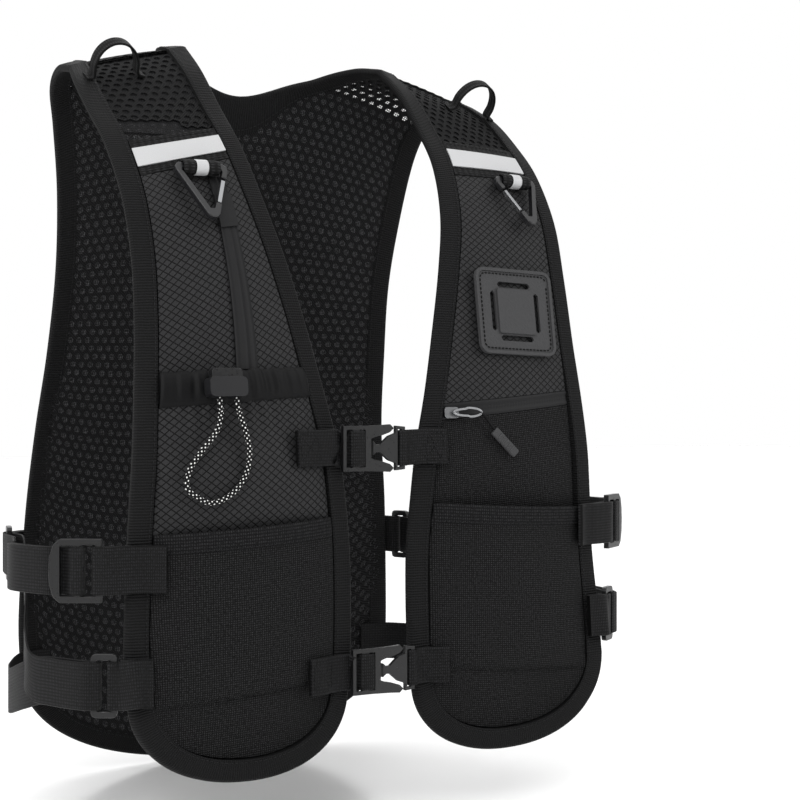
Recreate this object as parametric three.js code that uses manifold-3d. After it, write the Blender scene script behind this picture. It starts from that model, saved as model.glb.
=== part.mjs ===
// A running hydration vest: two mesh-lined front panels with pockets, a wide back panel,
// one binding tape round every edge, webbing straps at the sides and two chest straps.
// Millimetres, +Z up. The wearer faces -Y, so the wearer's right side is -X.
// The origin lies midway between the two shoulder ridges, where the vest rests when worn.
import * as THREE from 'three';
import { mergeVertices } from 'three/addons/utils/BufferGeometryUtils.js';
import Module from 'manifold-3d';

const wasm = await Module();
wasm.setup();

// Driving sizes of the body of the vest
const halfWidth = 150; // centre line to the widest part of the armhole edge
const frontDepth = 105; // shoulder ridge forward to the chest
const frontDrop = 353; // shoulder ridge down to the front hem corners
const frontHemDrop = 48; // how far the rounded front hem hangs below its corners
const backDepth = 112; // shoulder ridge back to the middle of the back
const backDrop = 362; // shoulder ridge down to the back hem corners
const backHemDrop = 68; // how far the rounded back hem hangs below its corners
const neckShare = 0.475; // inner end of the shoulder ridge, as a share of its outer end
const neckDepth = 0.3; // share of the back's rows that the neckline cuts away
const bellyDepth = 6; // how far a front panel is crowned between its edges

// Cloth, tape and clearances
const gap = 0.3; // clearance between touching pieces
const seamGap = 0.8; // clearance between cloth and the tape round its edge
const liningThick = 2.0; // spacer mesh next to the body
const clothThick = 1.0; // ripstop, oxford and nylon layers
const bindingWidth = 12; // edge tape, folded over the edge
const bindingProud = 0.5; // how far the tape stands over the layers that it holds
const webThick = 1.4; // webbing
const sideWeb = 25; // width of the side straps
const chestWeb = 20; // width of the chest straps
const cordSize = 2.8; // elastic cord
const clothInset = bindingWidth + seamGap; // edges of the cloth, inside the tape

// Room in the pockets
const pocketBulge = 7; // room in a lower pocket
const bottleBulge = 6; // room in the pocket above it

// Rows of the front panels from the hem corners to the shoulder ridge. inX and outX are shares of
// halfWidth, inY and outY of frontDepth, inZ and outZ of frontDrop, belly of bellyDepth.
const frontRows = [
  { inX: 0.147, outX: 1.04, inY: 1.02, outY: 1.07, inZ: -1.0, outZ: -0.985, belly: 0.1 },
  { inX: 0.133, outX: 1.04, inY: 1.01, outY: 1.03, inZ: -0.94, outZ: -0.925, belly: 0.4 },
  { inX: 0.133, outX: 1.02, inY: 1.0, outY: 0.99, inZ: -0.802, outZ: -0.807, belly: 0.8 },
  { inX: 0.153, outX: 1.007, inY: 1.0, outY: 0.99, inZ: -0.711, outZ: -0.708, belly: 1.0 },
  { inX: 0.18, outX: 0.995, inY: 0.995, outY: 0.99, inZ: -0.629, outZ: -0.629, belly: 1.0 },
  { inX: 0.233, outX: 0.98, inY: 0.975, outY: 0.965, inZ: -0.533, outZ: -0.533, belly: 0.9 },
  { inX: 0.287, outX: 0.965, inY: 0.935, outY: 0.925, inZ: -0.433, outZ: -0.44, belly: 0.8 },
  { inX: 0.347, outX: 0.957, inY: 0.87, outY: 0.865, inZ: -0.33, outZ: -0.34, belly: 0.7 },
  { inX: 0.4, outX: 0.963, inY: 0.775, outY: 0.765, inZ: -0.24, outZ: -0.244, belly: 0.7 },
  { inX: 0.435, outX: 0.972, inY: 0.62, outY: 0.58, inZ: -0.15, outZ: -0.158, belly: 0.6 },
  { inX: 0.45, outX: 0.978, inY: 0.42, outY: 0.38, inZ: -0.08, outZ: -0.1, belly: 0.4 },
  { inX: 0.453, outX: 0.97, inY: 0.21, outY: 0.18, inZ: -0.012, outZ: -0.05, belly: 0.2 },
  { inX: 0.447, outX: 0.94, inY: 0.0, outY: 0.0, inZ: 0.037, outZ: -0.017, belly: 0.0 },
];

// Rows of the back panel from the hem corners to the shoulder ridge. wide is a share of halfWidth,
// sideY and midY of backDepth, sideZ and midZ of backDrop, at the armhole and the centre line.
const backRows = [
  { wide: 0.887, sideY: 0.84, midY: 1.0, sideZ: -1.0, midZ: -1.0 },
  { wide: 0.893, sideY: 0.848, midY: 1.018, sideZ: -0.898, midZ: -0.898 },
  { wide: 0.873, sideY: 0.82, midY: 1.0, sideZ: -0.732, midZ: -0.732 },
  { wide: 0.84, sideY: 0.786, midY: 0.955, sideZ: -0.588, midZ: -0.588 },
  { wide: 0.813, sideY: 0.7, midY: 0.865, sideZ: -0.456, midZ: -0.45 },
  { wide: 0.8, sideY: 0.62, midY: 0.765, sideZ: -0.32, midZ: -0.29 },
  { wide: 0.82, sideY: 0.53, midY: 0.66, sideZ: -0.193, midZ: -0.137 },
  { wide: 0.86, sideY: 0.455, midY: 0.55, sideZ: -0.085, midZ: 0.004 },
  { wide: 0.9, sideY: 0.37, midY: 0.42, sideZ: -0.03, midZ: 0.045 },
  { wide: 0.927, sideY: 0.2, midY: 0.23, sideZ: -0.008, midZ: 0.06 },
  { wide: 0.94, sideY: 0.0, midY: 0.0, sideZ: -0.017, midZ: 0.052 },
];

// Finishes
const finish = (color, roughness, metalness = 0) =>
  new THREE.MeshStandardMaterial({ color, roughness, metalness });
const airMesh = finish(0x141414, 0.95);
const ripstop = finish(0x2c2c2d, 0.8);
const oxford = finish(0x202021, 0.9);
const nylon = finish(0x151516, 0.55);
const grosgrain = finish(0x1b1b1c, 0.9);
const webbing = finish(0x232324, 0.85);
const reflective = finish(0xd9dadb, 0.4);
const coated = finish(0x262627, 0.5);
const plastic = finish(0x2b2b2c, 0.45);
const rubber = finish(0x3b3b3c, 0.7);
const cordYarn = finish(0x3d3d3d, 0.9);
const steel = finish(0xc9cacc, 0.25, 1);

const vest = new THREE.Group();

// Adds a named piece, in a local frame when one is given
function add(name, geometry, material, frame) {
  const mesh = new THREE.Mesh(geometry, material);
  mesh.name = name;
  if (frame) {
    mesh.applyMatrix4(frame);
  }
  vest.add(mesh);
  return mesh;
}

// Points, rows and curves
const vec = (x, y, z) => new THREE.Vector3(x, y, z);
const mix = THREE.MathUtils.lerp;
const clamp = THREE.MathUtils.clamp;
const smooth = (x, from, to) => THREE.MathUtils.smoothstep(x, from, to);

// Catmull-Rom through the rows of a table, column by column; at runs from 0 to 1
function rowAt(table, at) {
  const place = clamp(at, 0, 1) * (table.length - 1);
  const k = Math.min(Math.floor(place), table.length - 2);
  const f = place - k;
  const row = {};
  for (const key of Object.keys(table[0])) {
    const b = table[k][key];
    const c = table[k + 1][key];
    const a = k > 0 ? table[k - 1][key] : 2 * b - c;
    const d = k + 2 < table.length ? table[k + 2][key] : 2 * c - b;
    const slope = (c - a) / 2;
    const next = (d - b) / 2;
    const bend = 3 * (c - b) - 2 * slope - next;
    const twist = 2 * (b - c) + slope + next;
    row[key] = b + f * (slope + f * (bend + f * twist));
  }
  return row;
}

// Turns vertices and triangles into a closed geometry whose faces point out
function closed(vertices, triangles) {
  let volume = 0;
  for (const [a, b, c] of triangles) {
    volume += vertices[a].dot(vertices[b].clone().cross(vertices[c]));
  }
  const index = triangles.flatMap(([a, b, c]) => (volume > 0 ? [a, b, c] : [a, c, b]));
  const geometry = new THREE.BufferGeometry();
  const position = new Float32Array(vertices.flatMap((p) => [p.x, p.y, p.z]));
  geometry.setAttribute('position', new THREE.BufferAttribute(position, 3));
  geometry.setIndex(index);
  geometry.computeVertexNormals();
  return geometry;
}

// A wall over a grid of skin points, between low and high along the skin's normal
function wall(cols, rows, pointAt, low, high) {
  const vertices = [];
  const triangles = [];
  for (const reach of [low, high]) {
    for (let j = 0; j <= rows; j += 1) {
      for (let i = 0; i <= cols; i += 1) {
        const { point, normal, s, v } = pointAt(i, j);
        vertices.push(point.clone().addScaledVector(normal, reach(s, v)));
      }
    }
  }
  const line = cols + 1;
  const layer = line * (rows + 1);
  const quad = (a, b, c, d) => triangles.push([a, b, c], [a, c, d]);
  for (let j = 0; j < rows; j += 1) {
    for (let i = 0; i < cols; i += 1) {
      const a = j * line + i;
      quad(a, a + line, a + line + 1, a + 1);
      quad(layer + a, layer + a + 1, layer + a + line + 1, layer + a + line);
    }
  }
  for (let i = 0; i < cols; i += 1) {
    const top = rows * line + i;
    quad(i, i + 1, layer + i + 1, layer + i);
    quad(top + 1, top, layer + top, layer + top + 1);
  }
  for (let j = 0; j < rows; j += 1) {
    const left = j * line;
    const right = left + cols;
    quad(left + line, left, layer + left, layer + left + line);
    quad(right, right + line, layer + right + line, layer + right);
  }
  return closed(vertices, triangles);
}

// A body through rings of points that all have the same count, closed or with flat ends
function loft(rings, loop = false) {
  const count = rings[0].length;
  const vertices = rings.flat();
  const triangles = [];
  const last = loop ? rings.length : rings.length - 1;
  for (let k = 0; k < last; k += 1) {
    const here = k * count;
    const next = ((k + 1) % rings.length) * count;
    for (let i = 0; i < count; i += 1) {
      const j = (i + 1) % count;
      triangles.push([here + i, here + j, next + j], [here + i, next + j, next + i]);
    }
  }
  if (!loop) {
    const end = (rings.length - 1) * count;
    for (let i = 1; i < count - 1; i += 1) {
      triangles.push([0, i + 1, i], [end, end + i, end + i + 1]);
    }
  }
  return closed(vertices, triangles);
}

// A strip of webbing along points, its width lying along each point's side direction
function strip(stops, width, thick) {
  const rings = stops.map(({ at, side }, k) => {
    const before = stops[Math.max(k - 1, 0)].at;
    const after = stops[Math.min(k + 1, stops.length - 1)].at;
    const along = after.clone().sub(before).normalize();
    const across = side.clone().addScaledVector(along, -side.dot(along)).normalize();
    const up = along.clone().cross(across);
    const corner = (a, b) =>
      at.clone().addScaledVector(across, (a * width) / 2).addScaledVector(up, (b * thick) / 2);
    return [corner(-1, -1), corner(1, -1), corner(1, 1), corner(-1, 1)];
  });
  return loft(rings);
}

// A flat-ended cord through points
function cord(points, size, steps) {
  const curve = new THREE.CatmullRomCurve3(points, false, 'centripetal');
  const section = new THREE.Shape();
  const sides = 8;
  for (let i = 0; i < sides; i += 1) {
    const turn = (2 * Math.PI * i) / sides;
    const x = (Math.cos(turn) * size) / 2;
    const y = (Math.sin(turn) * size) / 2;
    if (i === 0) {
      section.moveTo(x, y);
    } else {
      section.lineTo(x, y);
    }
  }
  section.closePath();
  return new THREE.ExtrudeGeometry(section, { steps, bevelEnabled: false, extrudePath: curve });
}

// An outline in the local XZ plane pushed outward (local -Y) from base to base + depth
function plate(shape, base, depth, curveSegments = 4) {
  const geometry = new THREE.ExtrudeGeometry(shape, { depth, bevelEnabled: false, curveSegments });
  geometry.translate(0, 0, base);
  geometry.rotateX(Math.PI / 2);
  return geometry;
}

// A closed outline through corners, given counter-clockwise
const polygon = (points, Kind = THREE.Shape) => {
  const shape = new Kind();
  points.forEach(([x, z], k) => (k ? shape.lineTo(x, z) : shape.moveTo(x, z)));
  return shape;
};

// A rectangle with rounded corners, as a shape or a hole
function rounded(x0, z0, x1, z1, radius, Kind = THREE.Shape) {
  const path = new Kind();
  path.moveTo(x0 + radius, z0);
  path.lineTo(x1 - radius, z0);
  path.absarc(x1 - radius, z0 + radius, radius, -Math.PI / 2, 0);
  path.lineTo(x1, z1 - radius);
  path.absarc(x1 - radius, z1 - radius, radius, 0, Math.PI / 2);
  path.lineTo(x0 + radius, z1);
  path.absarc(x0 + radius, z1 - radius, radius, Math.PI / 2, Math.PI);
  path.lineTo(x0, z0 + radius);
  path.absarc(x0 + radius, z0 + radius, radius, Math.PI, 1.5 * Math.PI);
  return path;
}

// A closed geometry as a solid that can be joined and cut
function solid(geometry) {
  const bare = geometry.clone();
  bare.deleteAttribute('normal');
  bare.deleteAttribute('uv');
  const merged = mergeVertices(bare, 1e-4);
  const mesh = new wasm.Mesh({
    numProp: 3,
    vertProperties: new Float32Array(merged.attributes.position.array),
    triVerts: new Uint32Array(merged.index.array),
  });
  return new wasm.Manifold(mesh);
}

function meshOf(body) {
  const { vertProperties, triVerts } = body.getMesh();
  const geometry = new THREE.BufferGeometry();
  geometry.setAttribute('position', new THREE.BufferAttribute(vertProperties, 3));
  geometry.setIndex(new THREE.BufferAttribute(triVerts, 1));
  geometry.computeVertexNormals();
  return geometry;
}

const fuse = (...parts) => meshOf(parts.map(solid).reduce((a, b) => a.add(b)));
const cut = (part, ...tools) => meshOf(tools.map(solid).reduce((a, b) => a.subtract(b), solid(part)));

// The skin of a front panel, on the side next to the body. side is -1 for the wearer's right and 1
// for the left, s runs from the inner edge to the armhole, t from the hem corners to the ridge.
const roundness = (s) => (1 - Math.abs(2 * clamp(s, 0, 1) - 1) ** 2.2) ** (1 / 2.2);
const frontFade = (t) => 1 - smooth(t, 0, 0.22);

function frontSkin(side, s, t, inset = 0) {
  const row = rowAt(frontRows, t);
  const inner = vec(row.inX * halfWidth, -row.inY * frontDepth, row.inZ * frontDrop);
  const outer = vec(row.outX * halfWidth, -row.outY * frontDepth, row.outZ * frontDrop);
  const across = outer.sub(inner);
  const width = across.length();
  const share = (inset + s * (width - 2 * inset)) / width;
  const point = inner.addScaledVector(across, share);
  point.y -= row.belly * bellyDepth * 4 * share * (1 - share);
  point.z -= (frontHemDrop - inset) * frontFade(t) * roundness(s);
  point.x *= side;
  return point;
}

function frontNormal(side, s, t) {
  const middle = clamp(s, 0.08, 0.92);
  const low = Math.max(t - 0.01, 0);
  const high = Math.min(t + 0.01, 1);
  const across = frontSkin(side, middle + 0.04, t).sub(frontSkin(side, middle - 0.04, t));
  const up = frontSkin(side, middle, high).sub(frontSkin(side, middle, low));
  return across.cross(up).normalize().multiplyScalar(side);
}

// The row value t at which the front skin has a height, given as a share of frontDrop below zero
function frontLevel(side, s, share, inset = 0) {
  let low = 0;
  let high = 1;
  for (let k = 0; k < 24; k += 1) {
    const middle = (low + high) / 2;
    if (frontSkin(side, s, middle, inset).z < -share * frontDrop) {
      low = middle;
    } else {
      high = middle;
    }
  }
  return low;
}

// A cloth piece on a front panel between two levels; bottom null means down to the hem
function frontPiece(side, { top, bottom, cols, rows, low, high, from = 0, to = 1, inset }) {
  const edge = inset ?? clothInset;
  const pointAt = (i, j) => {
    const even = i / cols;
    const eased = (1 - Math.cos(Math.PI * even)) / 2;
    const s = mix(from, to, bottom === null ? eased : even);
    const t0 = bottom === null ? 0 : frontLevel(side, s, bottom(s), edge);
    const t1 = top === null ? 1 : frontLevel(side, s, top(s), edge);
    const v = j / rows;
    const t = mix(t0, t1, v);
    const lift = bottom === null && j === 0 ? gap / frontDrop : 0;
    return { point: frontSkin(side, s, t + lift, edge), normal: frontNormal(side, s, t), s, v };
  };
  return wall(cols, rows, pointAt, low, high);
}

// A local frame on a front panel: X toward the wearer's left, Z up the panel, -Y outward
function frontFrame(side, s, share, lift) {
  const t = frontLevel(side, s, share);
  const normal = frontNormal(side, s, t);
  const origin = frontSkin(side, s, t).addScaledVector(normal, lift);
  const across = frontSkin(side, s + 0.02, t).sub(frontSkin(side, s - 0.02, t)).multiplyScalar(side);
  const inward = normal.clone().negate();
  const ex = across.addScaledVector(normal, -across.dot(normal)).normalize();
  const ez = ex.clone().cross(inward);
  return new THREE.Matrix4().makeBasis(ex, inward, ez).setPosition(origin);
}

// The skin of the back panel. u runs from -1, the wearer's right armhole, to 1, t as above.
const backFade = (t) => 1 - smooth(t, 0, 0.45);

function backSkin(u, t, inset = 0) {
  const row = rowAt(backRows, t);
  const half = row.wide * halfWidth;
  const x = u * (half - inset);
  const bend = (x / half) ** 2;
  const y = mix(row.midY, row.sideY, bend) * backDepth;
  const z = mix(row.midZ, row.sideZ, bend) * backDrop;
  const hang = (backHemDrop - inset) * backFade(t) * Math.sqrt(Math.max(1 - u * u, 0));
  return vec(x, y, z - hang);
}

function backNormal(u, t) {
  const middle = clamp(u, -0.94, 0.94);
  const low = Math.max(t - 0.01, 0);
  const high = Math.min(t + 0.01, 1);
  const across = backSkin(middle + 0.03, t).sub(backSkin(middle - 0.03, t));
  const up = backSkin(middle, high).sub(backSkin(middle, low));
  return up.cross(across).normalize();
}

// The row value at which the back skin has a height, as a share of backDrop below zero
function backLevel(u, share, inset = 0) {
  let low = 0;
  let high = 1 - neckDepth;
  for (let k = 0; k < 24; k += 1) {
    const middle = (low + high) / 2;
    if (backSkin(u, middle, inset).z < -share * backDrop) {
      low = middle;
    } else {
      high = middle;
    }
  }
  return low;
}

// The inner end of the ridge and the depth of the neckline, for an outline moved in by inset
const ridgeHalf = backRows.at(-1).wide * halfWidth;
const neckHalf = (inset) => (neckShare * ridgeHalf + inset) / (ridgeHalf - inset);
const neckRows = (inset) => neckDepth + (inset * neckDepth) / (0.62 * backDepth);

// The highest row of the back at u: the ridge, or the neckline between the shoulders
function backTop(u, inset) {
  const share = Math.min(Math.abs(u) / neckHalf(inset), 1);
  return 1 - neckRows(inset) * Math.sqrt(1 - share * share);
}

// Columns across the whole back: two shoulders and the neckline, closer together at their ends
function backColumns(shoulder, neck, inset) {
  const half = neckHalf(inset);
  const columns = [];
  for (let k = 0; k < shoulder; k += 1) {
    columns.push(-mix(half, 1, Math.sin((Math.PI / 2) * (1 - k / shoulder))));
  }
  for (let k = 0; k <= neck; k += 1) {
    columns.push(half * Math.sin(Math.PI * (k / neck - 0.5)));
  }
  for (let k = 1; k <= shoulder; k += 1) {
    columns.push(mix(half, 1, Math.sin(((Math.PI / 2) * k) / shoulder)));
  }
  return columns;
}

// A local frame on the back: X toward the wearer's right, Z up the panel, -Y outward
function backFrame(u, share, lift) {
  const t = backLevel(u, share, clothInset);
  const normal = backNormal(u, t);
  const origin = backSkin(u, t, clothInset).addScaledVector(normal, lift);
  const ez = vec(0, 0, 1).addScaledVector(normal, -normal.z).normalize();
  const inward = normal.negate();
  const ex = inward.clone().cross(ez);
  return new THREE.Matrix4().makeBasis(ex, inward, ez).setPosition(origin);
}

// Heights of the layers over the skin
const flat = (height) => () => height;
const shellLow = liningThick + gap;
const shellHigh = shellLow + clothThick;
const bottleLow = shellHigh + gap;
const pocketLow = bottleLow + clothThick + gap;
const crown = (s) => Math.sqrt(Math.max(4 * s * (1 - s), 0));

// Sections along the armhole and front edges, shared by the linings and the tape round them
const frontStops = 16;
const backStops = 12;

// Linings, with the see-through shoulder stretches in one piece with them
for (const [label, side] of [['R', -1], ['L', 1]]) {
  const lining = { top: null, bottom: null, cols: 5, rows: frontStops, low: flat(0), high: flat(liningThick) };
  add(`front_${label}_mesh`, frontPiece(side, lining), airMesh);
}

// The back's lining and its ripstop shell share their rows, so that they keep their distance. The
// shell's last row is the yoke, where the shoulder mesh goes on alone.
const backGap = gap / (0.25 * backDrop);
const neckStops = 8;
const yokeTop = 0.78;
const yokeRow = 9;
const yokeStep = 0.006; // least height of the mesh over the shell, under the neckline
const clothTop = (u) => backTop(u, clothInset) - backGap;
const yoke = (u) => Math.min(yokeTop, clothTop(u) - yokeStep);
const shoulderStops = 2;
const backGrid = backColumns(shoulderStops, neckStops, clothInset);

function backLayer(rows, low, high) {
  const rowLevel = (u, j) => {
    const above = (j - yokeRow) / (backStops - yokeRow);
    return j <= yokeRow ? (yoke(u) * j) / yokeRow : mix(yoke(u), clothTop(u), above);
  };
  const pointAt = (i, j) => {
    const u = backGrid[i];
    const t = rowLevel(u, j);
    return { point: backSkin(u, t, clothInset), normal: backNormal(u, t), s: u, v: j / rows };
  };
  return wall(backGrid.length - 1, rows, pointAt, flat(low), flat(high));
}
add('back_mesh', backLayer(backStops, 0, liningThick), airMesh);

// Edge tape: one ring of sections round every edge of the vest, folded over the edge
const tapeFace = (t) => mix(pocketLow + clothThick, shellHigh, smooth(t, 0.3, 0.5)) + bindingProud;
const backFace = shellHigh + bindingProud;
const tapeFold = 0.6; // inset of the fold's rounded sides

function tapeRing(at, normal, face) {
  const place = (inset, reach) => at(inset).addScaledVector(normal, reach);
  return [
    place(bindingWidth, -bindingProud),
    place(tapeFold, 0),
    place(tapeFold, face - bindingProud),
    place(bindingWidth, face),
  ];
}

function frontTape(side, s, t) {
  const normal = frontNormal(side, s, t);
  if (t === 1) {
    normal.add(backNormal(side * (s === 0 ? neckShare : 1), 1)).normalize();
  }
  return tapeRing((inset) => frontSkin(side, s, t, inset), normal, tapeFace(t));
}

const backTape = (u, t) => tapeRing((inset) => backSkin(u, t, inset), backNormal(u, t), backFace);

function neckTape(turn) {
  const place = (inset) => {
    const u = neckHalf(inset) * Math.sin(turn);
    return backSkin(u, 1 - neckRows(inset) * Math.cos(turn), inset);
  };
  const u = neckHalf(0) * Math.sin(turn);
  return tapeRing(place, backNormal(u, 1 - neckRows(0) * Math.cos(turn)), backFace);
}

const hemStops = 10;
const backHemStops = 16;
const tapeRings = [];
for (let k = 0; k <= frontStops; k += 1) {
  tapeRings.push(frontTape(-1, 0, 1 - k / frontStops));
}
for (let k = 1; k < hemStops; k += 1) {
  tapeRings.push(frontTape(-1, (1 - Math.cos((Math.PI * k) / hemStops)) / 2, 0));
}
for (let k = 0; k <= frontStops; k += 1) {
  tapeRings.push(frontTape(-1, 1, k / frontStops));
}
for (let k = 1; k <= backStops; k += 1) {
  tapeRings.push(backTape(-1, 1 - k / backStops));
}
for (let k = 1; k < backHemStops; k += 1) {
  tapeRings.push(backTape(-Math.cos((Math.PI * k) / backHemStops), 0));
}
for (let k = 0; k < backStops; k += 1) {
  tapeRings.push(backTape(1, k / backStops));
}
for (let k = 0; k <= frontStops; k += 1) {
  tapeRings.push(frontTape(1, 1, 1 - k / frontStops));
}
for (let k = 1; k < hemStops; k += 1) {
  tapeRings.push(frontTape(1, (1 + Math.cos((Math.PI * k) / hemStops)) / 2, 0));
}
for (let k = 0; k <= frontStops; k += 1) {
  tapeRings.push(frontTape(1, 0, k / frontStops));
}
for (let k = 1; k < neckStops; k += 1) {
  tapeRings.push(neckTape(Math.PI * (0.5 - k / neckStops)));
}
add('edge_binding', loft(tapeRings, true), grosgrain);

// A level that slopes across the panel, given at its inner edge and at the armhole
const level = (inner, outer) => (s) => mix(inner, outer, s);
const shift = (line, by) => (s) => line(s) + by;
const mm = 1 / frontDrop;

// The levels of each front panel, as shares of frontDrop below the shoulder line
const levels = {
  R: { bandTop: level(0.122, 0.155), bandBottom: level(0.172, 0.212), pocketTop: level(0.733, 0.75) },
  L: { bandTop: level(0.106, 0.112), bandBottom: level(0.168, 0.17), pocketTop: level(0.718, 0.732) },
};
const mouthTop = level(0.505, 0.515);
const mouthBottom = level(0.545, 0.562);
const zipTop = level(0.557, 0.535);
const zipBottom = level(0.583, 0.558);
const elasticWide = 11; // elastic tape along the top of a lower pocket
const tapeProud = 0.7; // how far the silver strip and the elastic stand over their cloth
const mouthThick = 2.2; // gathered nylon, folded over its drawcord
const mouthRoom = 2.5; // how far the drawn mouth stands off the panel
const gatherCount = 8;
const gatherDepth = 1.0;

for (const [label, side] of [['R', -1], ['L', 1]]) {
  const { bandTop, bandBottom, pocketTop } = levels[label];
  const onStrip = (v) => (v > 0.2 && v < 0.75 ? tapeProud : 0);
  const band = {
    top: bandTop,
    bottom: bandBottom,
    cols: 5,
    rows: 5,
    low: flat(shellLow),
    high: (s, v) => shellHigh + onStrip(v),
  };
  add(`front_${label}_reflective_band`, frontPiece(side, band), reflective);
  const chest = {
    top: shift(bandBottom, gap * mm),
    bottom: label === 'R' ? shift(mouthBottom, -2 * mm) : shift(zipTop, -gap * mm),
    cols: 5,
    rows: 8,
    low: flat(shellLow),
    high: flat(shellHigh),
  };
  add(`front_${label}_chest_panel`, frontPiece(side, chest), ripstop);
  const swell = (s, v) => pocketBulge * crown(s) * smooth(v, 0.02, 0.5);
  const elastic = (v) => (v > 0.82 ? tapeProud : 0);
  const lower = {
    top: pocketTop,
    bottom: null,
    cols: 8,
    rows: 6,
    low: (s, v) => pocketLow + swell(s, v),
    high: (s, v) => pocketLow + swell(s, v) + clothThick + elastic(v),
  };
  add(`front_${label}_lower_pocket`, frontPiece(side, lower), oxford);
}

// Right panel: gathered mouth, bottle pocket and the coated zip strip above it
const gather = (s) => gatherDepth * Math.cos(2 * Math.PI * gatherCount * s);
const mouthLow = (s) => bottleLow + gatherDepth + mouthRoom * crown(s) + gather(s) * crown(s);
const mouth = {
  top: mouthTop,
  bottom: shift(mouthBottom, -gap * mm),
  cols: 24,
  rows: 1,
  low: (s) => mouthLow(s),
  high: (s) => mouthLow(s) + mouthThick,
};
add('front_R_pocket_mouth', frontPiece(-1, mouth), nylon);
const behindBand = shift(levels.R.pocketTop, (elasticWide + 6) * mm);
const bottleSwell = (s, v) => crown(s) * mix(bottleBulge * Math.sin(Math.PI * v), mouthRoom, smooth(v, 0.5, 1));
const bottle = {
  top: mouthBottom,
  bottom: behindBand,
  cols: 8,
  rows: 5,
  low: (s, v) => bottleLow + bottleSwell(s, v),
  high: (s, v) => bottleLow + bottleSwell(s, v) + clothThick,
};
add('front_R_mid_pocket', frontPiece(-1, bottle), ripstop);
const stripFoot = { near: 0.37, far: 0.49 };
const stripHead = { near: 0.27, far: 0.385 };
const garage = (v) => (v > 0.72 && v < 0.9 ? 2 * tapeProud : 0);
const zipStrip = (i, j) => {
  const v = j / 10;
  const s = mix(mix(stripFoot.near, stripHead.near, v), mix(stripFoot.far, stripHead.far, v), i);
  const bottom = frontLevel(-1, s, mouthTop(s) - 2 * mm);
  const top = frontLevel(-1, s, levels.R.bandBottom(s) + 8 * mm);
  const t = mix(bottom, top, v);
  return { point: frontSkin(-1, s, t), normal: frontNormal(-1, s, t), s, v };
};
const stripBase = shellHigh + gap;
const onGarage = (s, v) => stripBase + clothThick + garage(v);
add('front_R_zip_strip', wall(1, 10, zipStrip, flat(stripBase), onGarage), coated);

// Left panel: horizontal zip and the smooth pocket below it
const zip = { top: zipTop, bottom: zipBottom, cols: 6, rows: 1, low: flat(shellLow), high: flat(shellHigh) };
add('front_L_zip_tape', frontPiece(1, zip), coated);
const zipPocketRoom = 3;
const smoothSwell = (s, v) => zipPocketRoom * crown(s) * Math.sin(Math.PI * v);
const zipPocket = {
  top: shift(zipBottom, gap * mm),
  bottom: shift(levels.L.pocketTop, (elasticWide + 6) * mm),
  cols: 8,
  rows: 5,
  low: (s, v) => shellLow + smoothSwell(s, v),
  high: (s, v) => shellHigh + smoothSwell(s, v),
};
add('front_L_mid_pocket', frontPiece(1, zipPocket), oxford);

// Moulded lash patch: a flange with a raised rim and centre, and four slots between them
const patchWide = 56;
const patchTall = 52;
const patchRound = 6;
const patchThick = 1.6;
const patchRim = 2;
const patchCore = 27;
const slotLong = 24;
const slotWide = 3.4;
const patchLift = shellHigh + gap + 0.5; // its back stands clear of the panel's bend
const patchBase = rounded(-patchWide / 2, -patchTall / 2, patchWide / 2, patchTall / 2, patchRound);
const slotAt = patchCore / 2 + 1 + slotWide / 2;
const slotBevel = 1.3;

function slotPath(x0, z0, x1, z1) {
  const c = slotBevel;
  const corners = [
    [x0 + c, z0], [x1 - c, z0], [x1, z0 + c], [x1, z1 - c],
    [x1 - c, z1], [x0 + c, z1], [x0, z1 - c], [x0, z0 + c],
  ];
  return polygon(corners, THREE.Path);
}

for (const way of [-1, 1]) {
  const x = way * slotAt;
  const halfLong = slotLong / 2;
  const half = slotWide / 2;
  patchBase.holes.push(slotPath(x - half, -halfLong, x + half, halfLong));
  patchBase.holes.push(slotPath(-halfLong, x - half, halfLong, x + half));
}
const rimShape = rounded(-patchWide / 2, -patchTall / 2, patchWide / 2, patchTall / 2, patchRound);
const rimHalf = { x: patchWide / 2 - patchRim, z: patchTall / 2 - patchRim };
rimShape.holes.push(rounded(-rimHalf.x, -rimHalf.z, rimHalf.x, rimHalf.z, patchRound - patchRim, THREE.Path));
const coreShape = rounded(-patchCore / 2, -patchCore / 2, patchCore / 2, patchCore / 2, 1);
const patch = fuse(
  plate(patchBase, 0, patchThick, 3),
  plate(rimShape, 0, patchThick + 1, 3),
  plate(coreShape, 0, patchThick + 1.4, 1),
);
add('front_L_lash_patch', patch, rubber, frontFrame(1, 0.53, 0.404, patchLift));

// Snap hooks: a webbing roll under each reflective band carries a triangular hook with a gate
const hookBar = 3.6; // square section of the hook
const rollBore = 5.4;
const rollSize = 8.4;
const rollLong = 22;
const hookHalf = 15.6;
const hookTall = 33.4;
const gateLong = 16.1;
const gateWide = 2.2;
const gateRoom = 1; // clearance past each end of the gate, which swings about its lower end
const hooks = { R: { s: 0.45, drop: 0.012 }, L: { s: 0.63, drop: 0.014 } };
const bandFace = shellHigh + tapeProud;

function rollShape() {
  const r = rollSize / 2;
  const shape = new THREE.Shape();
  const tailThick = webThick;
  const meet = Math.PI - Math.asin((r - tailThick) / r);
  shape.moveTo(-r - 2, r - tailThick);
  shape.lineTo(-r - 2, r);
  shape.lineTo(0, r);
  shape.absarc(0, 0, r, Math.PI / 2, meet - 2 * Math.PI, true);
  shape.closePath();
  const bore = new THREE.Path();
  bore.absarc(0, 0, rollBore / 2, 0, 2 * Math.PI);
  shape.holes.push(bore);
  return shape;
}

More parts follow.
